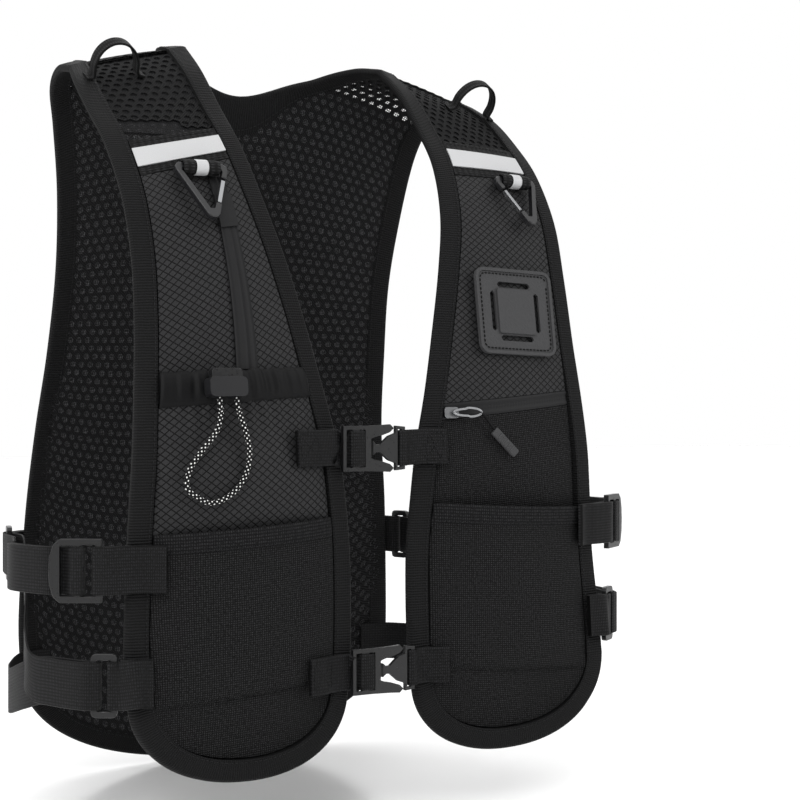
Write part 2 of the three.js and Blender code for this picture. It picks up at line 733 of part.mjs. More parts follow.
function hookShape() {
  const half = hookBar / 2;
  const outline = (points, Kind) => {
    const path = new Kind();
    points.forEach(([x, z], k) => (k ? path.lineTo(x, z) : path.moveTo(x, z)));
    return path;
  };
  const outer = [
    [hookHalf - 2, half],
    [hookHalf, 0],
    [hookHalf - 0.2, -half - 1.2],
    [3.6, 1.8 - hookTall],
    [1.6, -hookTall],
  ];
  const inner = [
    [hookHalf - 4.2, -half],
    [hookHalf - 3.7, -half - 1.4],
    [1.4, 5.8 - hookTall],
  ];
  const mirrored = (points) => points.map(([x, z]) => [-x, z]).reverse();
  const shape = outline([...mirrored(outer), ...outer].reverse(), THREE.Shape);
  shape.holes.push(outline([...mirrored(inner), ...inner], THREE.Path));
  return shape;
}

const legFrom = vec(hookHalf - 0.2, 0, -hookBar / 2 - 1.2);
const legTo = vec(3.6, 0, 1.8 - hookTall);
const legAlong = legTo.clone().sub(legFrom).normalize();
const legInward = vec(legAlong.z, 0, -legAlong.x);
const gateMiddle = legFrom.clone().lerp(legTo, 0.47).addScaledVector(legInward, 1.55);
const gateTurn = Math.atan2(legAlong.x, -legAlong.z);

function alongLeg(width, depth, length, way) {
  const bar = new THREE.BoxGeometry(width, depth, length);
  bar.rotateY(-gateTurn * way);
  bar.translate(gateMiddle.x * way, 0, gateMiddle.z);
  return bar;
}

for (const [label, side] of [['R', -1], ['L', 1]]) {
  const { s, drop } = hooks[label];
  const way = -side;
  const roll = new THREE.ExtrudeGeometry(rollShape(), {
    depth: rollLong,
    bevelEnabled: false,
    curveSegments: 5,
  });
  roll.translate(0, 0, -rollLong / 2);
  roll.rotateY(Math.PI / 2);
  const share = levels[label].bandBottom(s) + drop;
  const frame = frontFrame(side, s, share, bandFace + rollSize / 2);
  add(`front_${label}_clip_roll`, roll, webbing, frame);
  const body = plate(hookShape(), -hookBar / 2, hookBar);
  const mouthCut = alongLeg(hookBar + 2.4, hookBar + 2, gateLong + 2 * gateRoom, way);
  add(`front_${label}_clip`, cut(body, mouthCut), plastic, frame);
  const gate = alongLeg(gateWide, gateWide, gateLong, way);
  add(`front_${label}_clip_gate`, gate, steel, frame);
}

// Loops of narrow tape that stand on the shoulders
const loopTape = 8;
const loopSpan = 27;
const loopTall = 20;
const loopStep = 2.2; // the outer foot stands on the edge tape, the inner one on the mesh
for (const [label, side] of [['R', -1], ['L', 1]]) {
  const stops = [];
  const base = gap + webThick / 2;
  const footAt = (way) => vec((loopSpan / 2 + 4) * way, way === side ? -base : loopStep - base, 0);
  stops.push({ at: footAt(-1), side: vec(0, 0, 1) });
  for (let k = 0; k <= 8; k += 1) {
    const turn = (Math.PI * k) / 8;
    const x = (-loopSpan / 2) * Math.cos(turn);
    stops.push({ at: vec(x, -base - loopTall * Math.sin(turn) ** 0.8, 0), side: vec(0, 0, 1) });
  }
  stops.push({ at: footAt(1), side: vec(0, 0, 1) });
  const frame = frontFrame(side, 0.7, 0.036, liningThick + loopStep);
  add(`front_${label}_shoulder_loop`, strip(stops, loopTape, webThick), webbing, frame);
}

// Zip slider and pull of the left pocket; the pull turns on the slider about an upright axis
const sliderLong = 9;
const sliderTall = 6.4;
const sliderThick = 2.6;
const pullLong = 20;
const pullTall = 7;
const pullThick = 1.4;
const tipLong = 20;
const tipWide = 5.6;
const turnRoom = 0.8; // clearance under a pull, whose end turns beside its slider
const zipFrame = frontFrame(1, 0.147, 0.572, shellHigh + gap);
const sliderPlate = rounded(-sliderLong / 2, -sliderTall / 2, sliderLong / 2, sliderTall / 2, 1.6);
add('front_L_zip_slider', plate(sliderPlate, 0, sliderThick, 2), steel, zipFrame);
const pullAt = sliderThick + turnRoom;
const pullShape = rounded(-1.2, -pullTall / 2, pullLong, pullTall / 2, 3);
pullShape.holes.push(rounded(2.2, -pullTall / 2 + 1.5, pullLong - 1.5, pullTall / 2 - 1.5, 1.9, THREE.Path));
const cordBar = rounded(-1, -1, 14, 1, 0.9);
const tipShape = rounded(0, -tipWide / 2, tipLong, tipWide / 2, 2.4);
const pull = plate(pullShape, pullAt, pullThick, 2);
const pullCord = plate(cordBar, 0, 1.4, 1);
pullCord.rotateY(0.96);
pullCord.translate(pullLong - 0.8, -pullAt, -0.5);
const pullTip = plate(tipShape, 0, 2.6, 1);
pullTip.rotateY(0.8);
pullTip.translate(pullLong + 6.8, -pullAt + 0.6, -10.5);
add('front_L_zip_pull', fuse(pull, pullCord, pullTip), steel, zipFrame);

// Back: the ripstop shell with its cord loops, and the pockets on it
const backShell = backLayer(yokeRow, shellLow, shellHigh);

// Cord loops: rows of loop places as u and a share of backDrop below the shoulder line
const loopPlaces = [
  { u: 0.93, drop: 0.5 },
  { u: 0.89, drop: 0.77 },
  { u: 0.9, drop: 1.0 },
];
const bottomLoop = { u: 0, drop: 1.125 };
const loopWide = 13;
const loopHigh = 5.2;
const loopLong = 7;

function archShape(width, height, thick) {
  const half = width / 2;
  const sunk = 0.7; // how deep its feet are set in the shell
  return polygon([
    [-half, sunk],
    [-half * 0.7, -height],
    [half * 0.7, -height],
    [half, sunk],
    [half - thick, sunk],
    [half * 0.7 - thick * 0.8, -height + thick],
    [-half * 0.7 + thick * 0.8, -height + thick],
    [-half + thick, sunk],
  ]);
}

const loopArch = new THREE.ExtrudeGeometry(archShape(loopWide, loopHigh, 1), {
  depth: loopLong,
  bevelEnabled: false,
});
loopArch.translate(0, 0, -loopLong / 2);
const arches = loopPlaces
  .flatMap(({ u, drop }) => [backFrame(u, drop, shellHigh), backFrame(-u, drop, shellHigh)])
  .map((frame) => loopArch.clone().applyMatrix4(frame));
const bottomArch = loopArch.clone().rotateY(Math.PI / 2);
arches.push(bottomArch.applyMatrix4(backFrame(bottomLoop.u, bottomLoop.drop, shellHigh)));
add('back_shell', fuse(backShell, ...arches), ripstop);

// Reflective zip pocket, with the strip of its arched zip along its upper edge
const zipArch = (u) => mix(0.15, 0.27, Math.abs(u) ** 1.7);
const zipWide = 0.022; // strip of the zip, as a share of backDrop
const pocketFoot = (u) => mix(0.36, 0.315, Math.abs(u));
const backAt = (u, share) => backLevel(u, share, clothInset);
const pocketHalf = 0.93;
const reflectiveRoom = 4;
const reflectiveRows = 3;
const reflectiveAt = (i, j) => {
  const u = mix(-pocketHalf, pocketHalf, i / 10);
  const arch = backAt(u, zipArch(u));
  const v = Math.min(j / reflectiveRows, 1);
  const t = j > reflectiveRows ? backAt(u, zipArch(u) - zipWide) : mix(backAt(u, pocketFoot(u)), arch, v);
  return { point: backSkin(u, t, clothInset), normal: backNormal(u, t), s: u, v };
};
const reflectiveLow = (u, v) => shellHigh + gap + reflectiveRoom * Math.sin(Math.PI * v) * (1 - u * u);
const reflectiveHigh = (u, v) => reflectiveLow(u, v) + clothThick;
const reflectivePocket = wall(10, reflectiveRows + 1, reflectiveAt, reflectiveLow, reflectiveHigh);
add('back_reflective_pocket', reflectivePocket, reflective);

// Stretch pocket with an elastic top
const stretchEdge = (v) => mix(0.6, 0.76, v);
const stretchFoot = 1.06; // lower and upper edge, as shares of backDrop
const stretchHead = 0.585;
const stretchRoom = 7;
const stretchSwell = (s, v) => stretchRoom * (1 - s * s) * smooth(v, 0, 0.4);
const stretch = (i, j) => {
  const v = j / 6;
  const s = mix(-1, 1, i / 8);
  const u = s * stretchEdge(v);
  const t = mix(backAt(u, stretchFoot), backAt(u, stretchHead), v);
  return { point: backSkin(u, t, clothInset), normal: backNormal(u, t), s, v };
};
const stretchLow = (s, v) => shellHigh + gap + stretchSwell(s, v);
const stretchHigh = (s, v) => stretchLow(s, v) + clothThick + (v > 0.9 ? tapeProud : 0);
add('back_stretch_pocket', wall(8, 6, stretch, stretchLow, stretchHigh), airMesh);

// Hang loop under the neckline, and the moulded puller of the back zip
const hangSpan = 36;
const hangRise = 8;
const hangStops = [];
for (let k = 0; k <= 8; k += 1) {
  const x = mix(-hangSpan / 2, hangSpan / 2, k / 8);
  const rise = hangRise * Math.sin((Math.PI * k) / 8) ** 0.7;
  hangStops.push({ at: vec(x, -webThick / 2 - rise, 0), side: vec(0, 0, 1) });
}
add('back_hang_loop', strip(hangStops, 8, webThick), webbing, backFrame(0, 0.085, shellHigh));
const pullerShape = rounded(-1.2, -2.6, 25, 2.6, 2.4);
const pullerFrame = backFrame(-0.62, zipArch(0.62) - 0.004, shellHigh + gap + clothThick + turnRoom);
add('back_zip_puller', plate(pullerShape, 0, 2.4, 2), rubber, pullerFrame);

// A cord through points, with one ring of its section at each
function tube(points, size) {
  const sides = 8;
  let across = vec(0, 0, 1);
  const rings = points.map((at, k) => {
    const before = points[Math.max(k - 1, 0)];
    const after = points[Math.min(k + 1, points.length - 1)];
    const along = after.clone().sub(before).normalize();
    across = across.clone().addScaledVector(along, -across.dot(along)).normalize();
    const up = along.clone().cross(across);
    return Array.from({ length: sides }, (_, i) => {
      const turn = (2 * Math.PI * i) / sides;
      const point = at.clone().addScaledVector(across, (Math.cos(turn) * size) / 2);
      return point.addScaledVector(up, (Math.sin(turn) * size) / 2);
    });
  });
  return loft(rings);
}

// Elastic cord on the back: one lacing held by the loops, a lock on its two ends, and two tails
const lacingSize = 2.4;
const lacingLift = lacingSize / 2 + 0.9; // centre of the cord over the cloth below it
const overLift = lacingSize + 1; // added where a strand passes over another

function faceBelow(u, drop) {
  const foot = backAt(u, stretchFoot);
  const head = backAt(u, stretchHead);
  const v = (backAt(u, drop) - foot) / (head - foot);
  const s = u / stretchEdge(clamp(v, 0, 1));
  return Math.abs(s) < 1 && v > 0 && v < 1 ? stretchHigh(s, v) : shellHigh;
}

// A point over the highest cloth within reach
function overBack(u, drop, extra = 0) {
  const near = [-1, 0, 1].flatMap((a) => [-1, 0, 1].map((b) => faceBelow(u + a * 0.04, drop + b * 0.016)));
  const t = backAt(u, drop);
  return backSkin(u, t, clothInset).addScaledVector(backNormal(u, t), Math.max(...near) + lacingLift + extra);
}

const lockWide = 21.5;
const lockTall = 10.5;
const lockDeep = 8.5;
const lockDrop = 0.503;
const lockBack = 7; // back face of the lock over the skin
const turnReach = 0.045; // how far a turn through a loop bows out, in u

// Runs of one half of the lacing: from (u0, drop0) to (u1, drop1), then a turn through a loop
function lacingHalf(way, over) {
  const points = [];
  const straight = (from, to, count, extra) => {
    for (let k = 0; k <= count; k += 1) {
      const f = k / count;
      const u = mix(from.u, to.u, f) * way;
      const lift = extra && over ? overLift * Math.exp(-((u / 0.1) ** 2)) : 0;
      points.push(overBack(u, mix(from.drop, to.drop, f), lift));
    }
  };
  const turn = ({ u, drop }, mirror) => {
    for (const a of [-0.6, 0, 0.6]) {
      const bow = Math.cos(a * 1.3) - 1;
      points.push(overBack((u + bow * 0.4 * turnReach) * way * mirror, drop + 0.03 * a));
    }
  };
  const lockAt = backFrame(0, lockDrop, lockBack + lockDeep / 2);
  points.push(vec(-(lockWide / 2 + gap) * way, 0, 0).applyMatrix4(lockAt));
  points.push(vec(-(lockWide / 2 + 6) * way, 0, 0.6).applyMatrix4(lockAt));
  const [first, second, third] = loopPlaces;
  straight({ u: 0.35, drop: 0.478 }, { u: first.u - turnReach, drop: first.drop - 0.026 }, 3, false);
  turn(first, 1);
  straight({ u: first.u - turnReach, drop: first.drop + 0.027 }, { u: turnReach - second.u, drop: second.drop - 0.027 }, 8, true);
  turn(second, -1);
  straight({ u: turnReach - second.u, drop: second.drop + 0.027 }, { u: third.u - turnReach, drop: third.drop - 0.027 }, 8, true);
  turn(third, 1);
  straight({ u: third.u - turnReach, drop: third.drop + 0.027 }, { u: 0.16, drop: bottomLoop.drop - 0.012 }, 4, false);
  points.push(overBack(0.07 * way, bottomLoop.drop));
  return points;
}
const lacingWay = [...lacingHalf(1, false), overBack(0, bottomLoop.drop), ...lacingHalf(-1, true).reverse()];
add('back_lacing', tube(lacingWay, lacingSize), cordYarn);

// Cord locks: a body with a button that slides down into it
const buttonWide = 17.5;
const buttonDeep = 5;
const buttonTop = 9.9;
const buttonFoot = 0.2;
const buttonTravel = 3;
const buttonFit = 0.3;

function addLock(label, frame) {
  const half = { x: lockWide / 2, z: lockTall / 2 };
  const body = plate(rounded(-half.x, -half.z, half.x, half.z, 2.6), 0, lockDeep, 2);
  const floor = buttonFoot - buttonTravel - buttonFit;
  const well = new THREE.BoxGeometry(buttonWide + 2 * buttonFit, buttonDeep + 2 * buttonFit, buttonTop - floor);
  well.translate(0, -lockDeep / 2, (buttonTop + floor) / 2);
  add(`${label}_cord_lock`, cut(body, well), plastic, frame);
  const face = rounded(-buttonWide / 2, buttonFoot, buttonWide / 2, buttonTop, 2);
  const button = plate(face, (lockDeep - buttonDeep) / 2, buttonDeep, 2);
  add(`${label}_cord_lock_button`, button, plastic, frame);
}
addLock('back', backFrame(0, lockDrop, lockBack));

// Two tails from the lock, over the lacing, into one moulded end
const tailTop = lockDrop + (lockTall / 2 + gap) / backDrop;
const tailStops = [0.57, 0.61, 0.67, 0.74];
const tailEnd = 0.83;
const tails = [-1, 1].map((way) => {
  const middle = 0.15 + 0.016 * way;
  const points = tailStops.map((drop) => overBack(middle, drop, overLift));
  const lockFrame = backFrame(0, lockDrop, lockBack);
  const start = vec(-4 * way, -lockDeep / 2, -lockTall / 2 - gap).applyMatrix4(lockFrame);
  const below = vec(-4 * way, -lockDeep / 2, -lockTall / 2 - 3).applyMatrix4(lockFrame);
  const next = vec(-7 - 3 * way, -lockDeep / 2 - 3, -lockTall / 2 - 9).applyMatrix4(lockFrame);
  return tube([start, below, next, ...points, overBack(middle, tailEnd, overLift)], lacingSize);
});
const endHigh = 14;
const cordEnd = new THREE.BoxGeometry(8.5, 5, endHigh);
cordEnd.translate(0, 0, -endHigh / 2 + 3);
const endAt = backFrame(0.15, tailEnd, 0).setPosition(overBack(0.15, tailEnd, overLift));
add('back_cord_tails', fuse(...tails, cordEnd.applyMatrix4(endAt)), cordYarn);

// Right panel: a cord lock on the gathered mouth, with a free loop of elastic cord below it
const chestLock = { s: 0.6, share: 0.535, lift: 11 };
const chestLockFrame = frontFrame(-1, chestLock.s, chestLock.share, chestLock.lift);
addLock('front_R', chestLockFrame);
const bungeeWay = [
  [0.628, 0.572], [0.655, 0.599], [0.695, 0.615], [0.73, 0.629], [0.78, 0.655], [0.787, 0.679],
  [0.735, 0.695], [0.69, 0.702], [0.625, 0.696], [0.56, 0.677], [0.522, 0.652], [0.51, 0.625],
  [0.52, 0.599], [0.54, 0.572],
];
const bungeeLift = 12.9;
const onFront = ([s, share]) => {
  const t = frontLevel(-1, s, share);
  return frontSkin(-1, s, t).addScaledVector(frontNormal(-1, s, t), bungeeLift);
};
const lockMouth = (x) => [-lockTall / 2 - gap, -lockTall / 2 - 4].map((z) =>
  vec(x, -lockDeep / 2, z).applyMatrix4(chestLockFrame),
);
const bungeeStops = [...lockMouth(-4), ...bungeeWay.map(onFront), ...lockMouth(6).reverse()];
add('front_R_bungee', cord(bungeeStops, cordSize, 26), cordYarn);

// Side straps: a ladder lock and two rings on each side, and one long strap through them. The left
// side is laid out in plan, X outward, and the right side mirrors it.
const ladderHalf = 1.6; // half the thickness of the moulded frames
const sideSlot = sideWeb / 2 + 0.6;
const sideHalf = sideSlot + 3.4;
const turnLift = ladderHalf + gap + webThick / 2;
const plan = (x, y, ex, ey, nx, ny) => (a, w) => [x + a * ex + w * nx, y + a * ey + w * ny];
const lockPlan = plan(177.2, -100, 0.84, 0.543, 0.543, -0.84);
const lowerPlan = plan(166, -108.5, 0.84, 0.543, 0.543, -0.84);
const ringPlan = plan(143.2, 91.2, 0.29, -0.957, 0.957, 0.29);
const ringBar = 5.2;
const sewnSwell = 5.2; // pocket room under the sewn end of an upper tab

function planFrame(at, z, turned) {
  const [x, y] = at(0, 0);
  const [outX, outY] = at(0, -1);
  const inward = vec(outX - x, outY - y, 0).normalize();
  const up = vec(0, 0, 1);
  return new THREE.Matrix4().makeBasis(inward.clone().cross(up), inward, up).setPosition(x, y, z);
}

const ladderShape = polygon([
  [-12.6, -sideHalf], [9, -sideHalf], [12.4, -13.6], [14.4, -7.4], [15, 0],
  [14.4, 7.4], [12.4, 13.6], [9, sideHalf], [-12.6, sideHalf],
]);
ladderShape.holes.push(rounded(-9.4, -sideSlot, -1.8, sideSlot, 0.6, THREE.Path));
ladderShape.holes.push(rounded(1.8, -sideSlot, 9, sideSlot, 0.6, THREE.Path));
const ringHalf = ringBar + ladderHalf;
const ringShape = rounded(-ringHalf, -sideHalf, ringHalf, sideHalf, 2.4);
const ringOpen = ringBar - ladderHalf;
ringShape.holes.push(rounded(-ringOpen, -sideSlot, ringOpen, sideSlot, 0.8, THREE.Path));

// Stops of a webbing that turns round a bar, from its outer to its inner side
function turnRound(at, bar, way = 1, half = ladderHalf) {
  const reach = half + gap + webThick / 2;
  const bevel = half + 0.4;
  const side = turnLift - ladderHalf + bevel - 0.6;
  return [
    at(bar, turnLift), at(bar + way * bevel, turnLift), at(bar + way * reach, side),
    at(bar + way * reach, -side), at(bar + way * bevel, -turnLift), at(bar, -turnLift),
  ];
}

// A tab sewn to a front panel's edge at a height, folded round a bar of a frame
function frontTab(sewn, z, at, bar, room) {
  const layer = (reach) =>
    [sewn, 0.93, 1].map((s) => {
      const t = frontLevel(1, s, -z / frontDrop);
      const face = pocketLow + clothThick + (s < 0.9 ? sewnSwell : bindingProud);
      return sewnStop((at) => frontSkin(1, s, at), frontNormal(1, s, t), t, face + reach);
    });
  const near = gap + webThick / 2 + room;
  const inner = layer(near);
  const outer = layer(near + gap + webThick);
  const before = bar - ladderHalf - 1;
  const turn = [at(before, turnLift + 0.3), ...turnRound(at, bar), at(before, -turnLift - 0.3)];
  return strip([...outer, ...level3(turn, z), ...inner.reverse()], sideWeb, webThick);
}

// Stops of webbing, level or sewn to a panel
const slopeRoom = 0.75; // room under webbing for the bend of the panel below it
const cornerRoom = 3; // the same at a hem corner, which bends more
const upright = vec(0, 0, 1);
const level3 = (points, z) => points.map(([x, y]) => ({ at: vec(x, y, z), side: upright }));

// A stop on a panel, with the webbing's width along the panel's own slope
function sewnStop(skin, normal, t, lift) {
  const slope = skin(Math.min(t + 0.02, 1)).sub(skin(Math.max(t - 0.02, 0))).normalize();
  return { at: skin(t).addScaledVector(normal, lift), side: slope };
}

// Chest straps: a frame with two curved arms, a waisted catch, and webbing round their bars
const chestWebThick = 1.2;
const barHalf = 1.2;
const layerNear = barHalf + gap + chestWebThick / 2;
const layerFar = layerNear + chestWebThick + gap;
const tapeTop = pocketLow + clothThick + bindingProud;
const buckleLift = tapeTop + gap + slopeRoom + layerFar + chestWebThick / 2;
const webHalf = chestWeb / 2;
const buckleHalf = webHalf + 2.6;
const slotHalf = webHalf + 0.6;

function armShape() {
  return [
    [-8.6, -buckleHalf],
    [4, -buckleHalf - 0.4],
    [9.6, -buckleHalf - 0.8],
    [12, -buckleHalf + 1.4],
    [9.4, -8.9],
    [4, -7.2],
    [-0.4, -6.4],
    [-3, -5.4],
  ];
}

function frameShape() {
  const lower = armShape();
  const upperArm = lower.map(([x, z]) => [x, -z]).reverse();
  const shape = polygon([[-21, -buckleHalf], ...lower, ...upperArm, [-21, buckleHalf]]);
  for (const [x0, x1] of [[-19, -14.8], [-10.6, -6.6]]) {
    shape.holes.push(rounded(x0, -slotHalf, x1, slotHalf, 0.6, THREE.Path));
  }
  return shape;
}

function catchShape() {
  const edge = [
    [-1.6, -4],
    [0.6, -2.2],
    [3, -2.2],
    [8.6, -6.8],
    [13.2, -8.4],
    [13.2, -buckleHalf],
    [19.6, -buckleHalf + 0.6],
  ];
  const shape = polygon([...edge, ...edge.map(([x, z]) => [x, -z]).reverse()]);
  shape.holes.push(rounded(14.6, -slotHalf, 17.2, slotHalf, 0.6, THREE.Path));
  return shape;
}

// Stops of a chest webbing along a panel, from its sewn end to the panel's inner edge
function alongPanel(side, ends, z, room, reach) {
  return ends.map((s) => {
    const t = frontLevel(side, s, -z / frontDrop);
    const width = frontSkin(side, 1, t).distanceTo(frontSkin(side, 0, t));
    const inside = (s * width - clothInset) / (width - 2 * clothInset);
    const cloth = room.base + room.bulge * crown(inside);
    const face = inside > 0 ? Math.max(cloth, tapeFace(t)) : tapeFace(t);
    return sewnStop((at) => frontSkin(side, s, at), frontNormal(side, s, t), t, face + reach);
  });
}

const over = -(barHalf + gap + chestWebThick / 2);
const frameTurn = [
  [-22, layerFar], [-9.4, layerFar], [-7.7, layerFar - 1.4], [-7.6, 0], [-8.2, over], [-14.4, over], [-15.7, -1.4],
  [-15.8, 0.8], [-17.4, layerNear], [-22, layerNear],
];
const catchTurn = [
  [18.2, layerFar], [16.2, layerNear], [15.9, 0], [16, -1.5], [17.3, over], [19.9, over], [21.2, -0.8],
  [22.8, layerNear],
];
const lowerRoom = { base: pocketLow + clothThick, bulge: pocketBulge };
const bottleRoom = { base: bottleLow + clothThick, bulge: bottleBulge };
const zipRoom = { base: shellHigh, bulge: zipPocketRoom };
const chestStraps = {
  upper: { z: -221, middle: -7, R: { sewn: 0.27, room: bottleRoom }, L: { sewn: 0.13, room: zipRoom } },
  lower: { z: -345, middle: -2, R: { sewn: 0.24, room: lowerRoom }, L: { sewn: 0.16, room: lowerRoom } },
};
for (const [label, { z, middle, R, L }] of Object.entries(chestStraps)) {
  const t = frontLevel(1, 0, -z / frontDrop);
  const y = frontSkin(1, 0, t).y - buckleLift;
  const frame = new THREE.Matrix4().setPosition(middle, y, z);
  const turn = (stops) => level3(stops.map(([x, depth]) => [x + middle, y + depth]), z);
  const web = (side, { sewn, room }, stops) => {
    const ends = [sewn, sewn * 0.7, sewn * 0.4, 0.03];
    const near = gap + chestWebThick / 2 + slopeRoom;
    const below = alongPanel(side, ends, z, room, near);
    const above = alongPanel(side, ends, z, room, near + gap + chestWebThick);
    return strip([...below, ...turn(stops), ...above.reverse()], chestWeb, chestWebThick);
  };
  add(`chest_${label}_webbing_R`, web(-1, R, frameTurn), webbing);
  add(`chest_${label}_frame`, plate(frameShape(), -barHalf, 2 * barHalf, 1), plastic, frame);
  add(`chest_${label}_catch`, plate(catchShape(), -barHalf, 2 * barHalf, 1), plastic, frame);
  add(`chest_${label}_webbing_L`, web(1, L, catchTurn), webbing);
}

// The long strap: tail, ladder lock, back ring, lower ring, and its end sewn inside the back
function sideStrap(zLock, zRing, zLower, zEnd) {
  const mixZ = (points, from, to) => {
    const last = points.length - 1;
    return points.map(([x, y], k) => ({ at: vec(x, y, mix(from, to, smooth(k / last, 0.1, 0.9))), side: upright }));
  };
  const tail = [[194.6, -50], [194.9, -62], [192.6, -76], lockPlan(16.5, -4.7), lockPlan(11, -4.7)];
  const lock = [
    lockPlan(5.5, -4.5), lockPlan(1.8, -turnLift - 0.2), ...turnRound(lockPlan, 0, -1, 1.8).reverse().slice(1),
    lockPlan(2.2, turnLift), lockPlan(2.9, 1.6), lockPlan(5.4, -0.9), lockPlan(7.8, -turnLift),
    lockPlan(15.6, -turnLift),
  ];
  const upper = [[193.6, -80], [197, -62], [192, -40], [176, -6], [161, 35], [152, 58], [149.4, 76]];
  const ringTurn = turnRound(ringPlan, ringBar, -1);
  const diagonal = [[141.8, 74], [146, 58], [154, 35], [169, -6], [184, -44], [188, -62], [184, -84]];
  const lowerTurn = [lowerPlan(10, turnLift - 0.2), ...turnRound(lowerPlan, ringBar, -1), lowerPlan(9, -turnLift - 0.6)];
  const insideBack = (u) => {
    const t = backLevel(u, -zEnd / backDrop);
    const lift = -bindingProud - gap - webThick / 2 - 1.4 * slopeRoom;
    return sewnStop((at) => backSkin(u, at), backNormal(u, t), t, lift);
  };
  const lower = [[177, -88], [183, -68], [185, -45], [180, -12], [167, 26], [155, 56]];
  return strip(
    [
      ...level3([...tail, ...lock], zLock),
      ...mixZ(upper, zLock, zRing),
      ...level3(ringTurn, zRing),
      ...mixZ(diagonal, zRing, zLower),
      ...level3(lowerTurn, zLower),
      ...mixZ(lower, zLower, zEnd),
      insideBack(1),
      insideBack(0.86),
    ],
    sideWeb,
    webThick,
  );
}

// A tab sewn over the back's outer face at the armhole edge, folded round the ring's rear bar
function backTab(z) {
  const layer = (reach) =>
    [0.93, 0.965, 1].map((u) => {
      const t = backLevel(u, -z / backDrop);
      return sewnStop((at) => backSkin(u, at), backNormal(u, t), t, backFace + reach);
    });
  const near = gap + webThick / 2 + 1.2;
  const wrap = [
    ringPlan(-ringBar - 2.7, -1.2),
    ...turnRound(ringPlan, -ringBar, -1).reverse().slice(3),
    ...turnRound(ringPlan, -ringBar).slice(1, 4),
    ringPlan(-ringBar + 1.8, -3.2),
  ];
  const inner = layer(near);
  const outer = layer(near + gap + webThick);
  return strip([...outer, ...level3(wrap, z), ...inner.reverse()], sideWeb, webThick);
}

const sideHeights = {
  R: { lock: -282, ring: -288, lower: -341, end: -362 },
  L: { lock: -269, ring: -288, lower: -325, end: -362 },
};
const lockBar = -11;
for (const [label, { lock, ring, lower, end }] of Object.entries(sideHeights)) {
  const put = (name, geometry, material) => {
    const body = solid(geometry);
    add(`side_${label}_${name}`, meshOf(label === 'R' ? body.mirror([1, 0, 0]) : body), material);
  };
  const framed = (shape, at, z) => plate(shape, -ladderHalf, 2 * ladderHalf, 1).applyMatrix4(planFrame(at, z));
  put('upper_tab', frontTab(0.866, lock, lockPlan, lockBar, slopeRoom), webbing);
  put('ladder_lock', framed(ladderShape, lockPlan, lock), plastic);
  put('strap', sideStrap(lock, ring, lower, end), webbing);
  put('back_tab', backTab(ring), webbing);
  put('back_ring', framed(ringShape, ringPlan, ring), plastic);
  put('lower_tab', frontTab(0.914, lower, lowerPlan, -ringBar, cornerRoom), webbing);
  put('lower_ring', framed(ringShape, lowerPlan, lower), plastic);
}

export default vest;
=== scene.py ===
# %% [markdown]
# # A running hydration vest
# Two pocketed front panels and a wide back panel, all lined with spacer mesh and bound with one
# ribbed tape, held together by webbing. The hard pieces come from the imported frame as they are.
# Every soft piece is made again here on the same skin, fine enough to show folds and stitches.

# %% Load the frame
import math
import bpy
import numpy as np
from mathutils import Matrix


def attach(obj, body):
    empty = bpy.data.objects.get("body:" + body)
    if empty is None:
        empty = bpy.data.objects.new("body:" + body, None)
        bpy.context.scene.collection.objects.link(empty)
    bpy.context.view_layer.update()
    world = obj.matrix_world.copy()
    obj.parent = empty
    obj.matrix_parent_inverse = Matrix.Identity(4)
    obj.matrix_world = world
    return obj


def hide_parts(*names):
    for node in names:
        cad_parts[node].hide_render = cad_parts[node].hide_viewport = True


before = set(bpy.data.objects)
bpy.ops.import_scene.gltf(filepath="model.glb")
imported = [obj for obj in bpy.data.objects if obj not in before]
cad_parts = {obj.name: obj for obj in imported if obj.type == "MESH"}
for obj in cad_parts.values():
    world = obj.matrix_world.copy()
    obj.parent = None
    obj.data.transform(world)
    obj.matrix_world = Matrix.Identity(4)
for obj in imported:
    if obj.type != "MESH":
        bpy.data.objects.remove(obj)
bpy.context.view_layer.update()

# %% [markdown]
# ## Camera, floor and light
# The vest stands turned, with its right front panel nearest. A long lens level with the chest gives
# upright edges. An even white room would wash black cloth out to grey, because every thread mirrors
# some of it. So the room is white behind the vest and above it, and dark on the camera's side. Large
# soft lamps at the front and the sides draw the weave and the edges of the buckles.

# %% Camera
scene = bpy.context.scene
CAMERA_AT = (-0.5333, -0.9621, -0.194)
CAMERA_TURN = 32.7  # degrees to the right of straight ahead
CAMERA_LENS = 80.2  # millimetres on a sensor 36 mm wide

camera_data = bpy.data.cameras.new("camera")
camera_data.lens = CAMERA_LENS
camera_data.sensor_width = 36
camera = bpy.data.objects.new("camera", camera_data)
camera.location = CAMERA_AT
camera.rotation_euler = (math.radians(90), 0, -math.radians(CAMERA_TURN))
scene.collection.objects.link(camera)
scene.camera = camera
print("camera at", CAMERA_AT, "with a", CAMERA_LENS, "mm lens")


# %% Colours and nodes
def linear(text):
    """An sRGB hex value such as "2b2b2c" as a linear colour with alpha."""
    channels = [int(text[k : k + 2], 16) / 255 for k in (0, 2, 4)]
    return tuple(c / 12.92 if c <= 0.04045 else ((c + 0.055) / 1.055) ** 2.4 for c in channels) + (1,)


def add_node(tree, kind, *values, named=None, **settings):
    """Adds a shader node. Values go to its inputs in order, and named ones to inputs by name."""
    made = tree.nodes.new("ShaderNode" + kind)
    for key, value in settings.items():
        setattr(made, key, value)
    sockets = [s for s in made.inputs if s.enabled]
    pairs = list(zip(sockets, values))
    for key, value in (named or {}).items():
        pairs.append((next(s for s in sockets if s.name == key), value))
    for socket, value in pairs:
        if isinstance(value, bpy.types.Node):
            value = next(s for s in value.outputs if s.enabled)
        if isinstance(value, bpy.types.NodeSocket):
            tree.links.new(value, socket)
        elif value is not None:
            socket.default_value = value
    return made


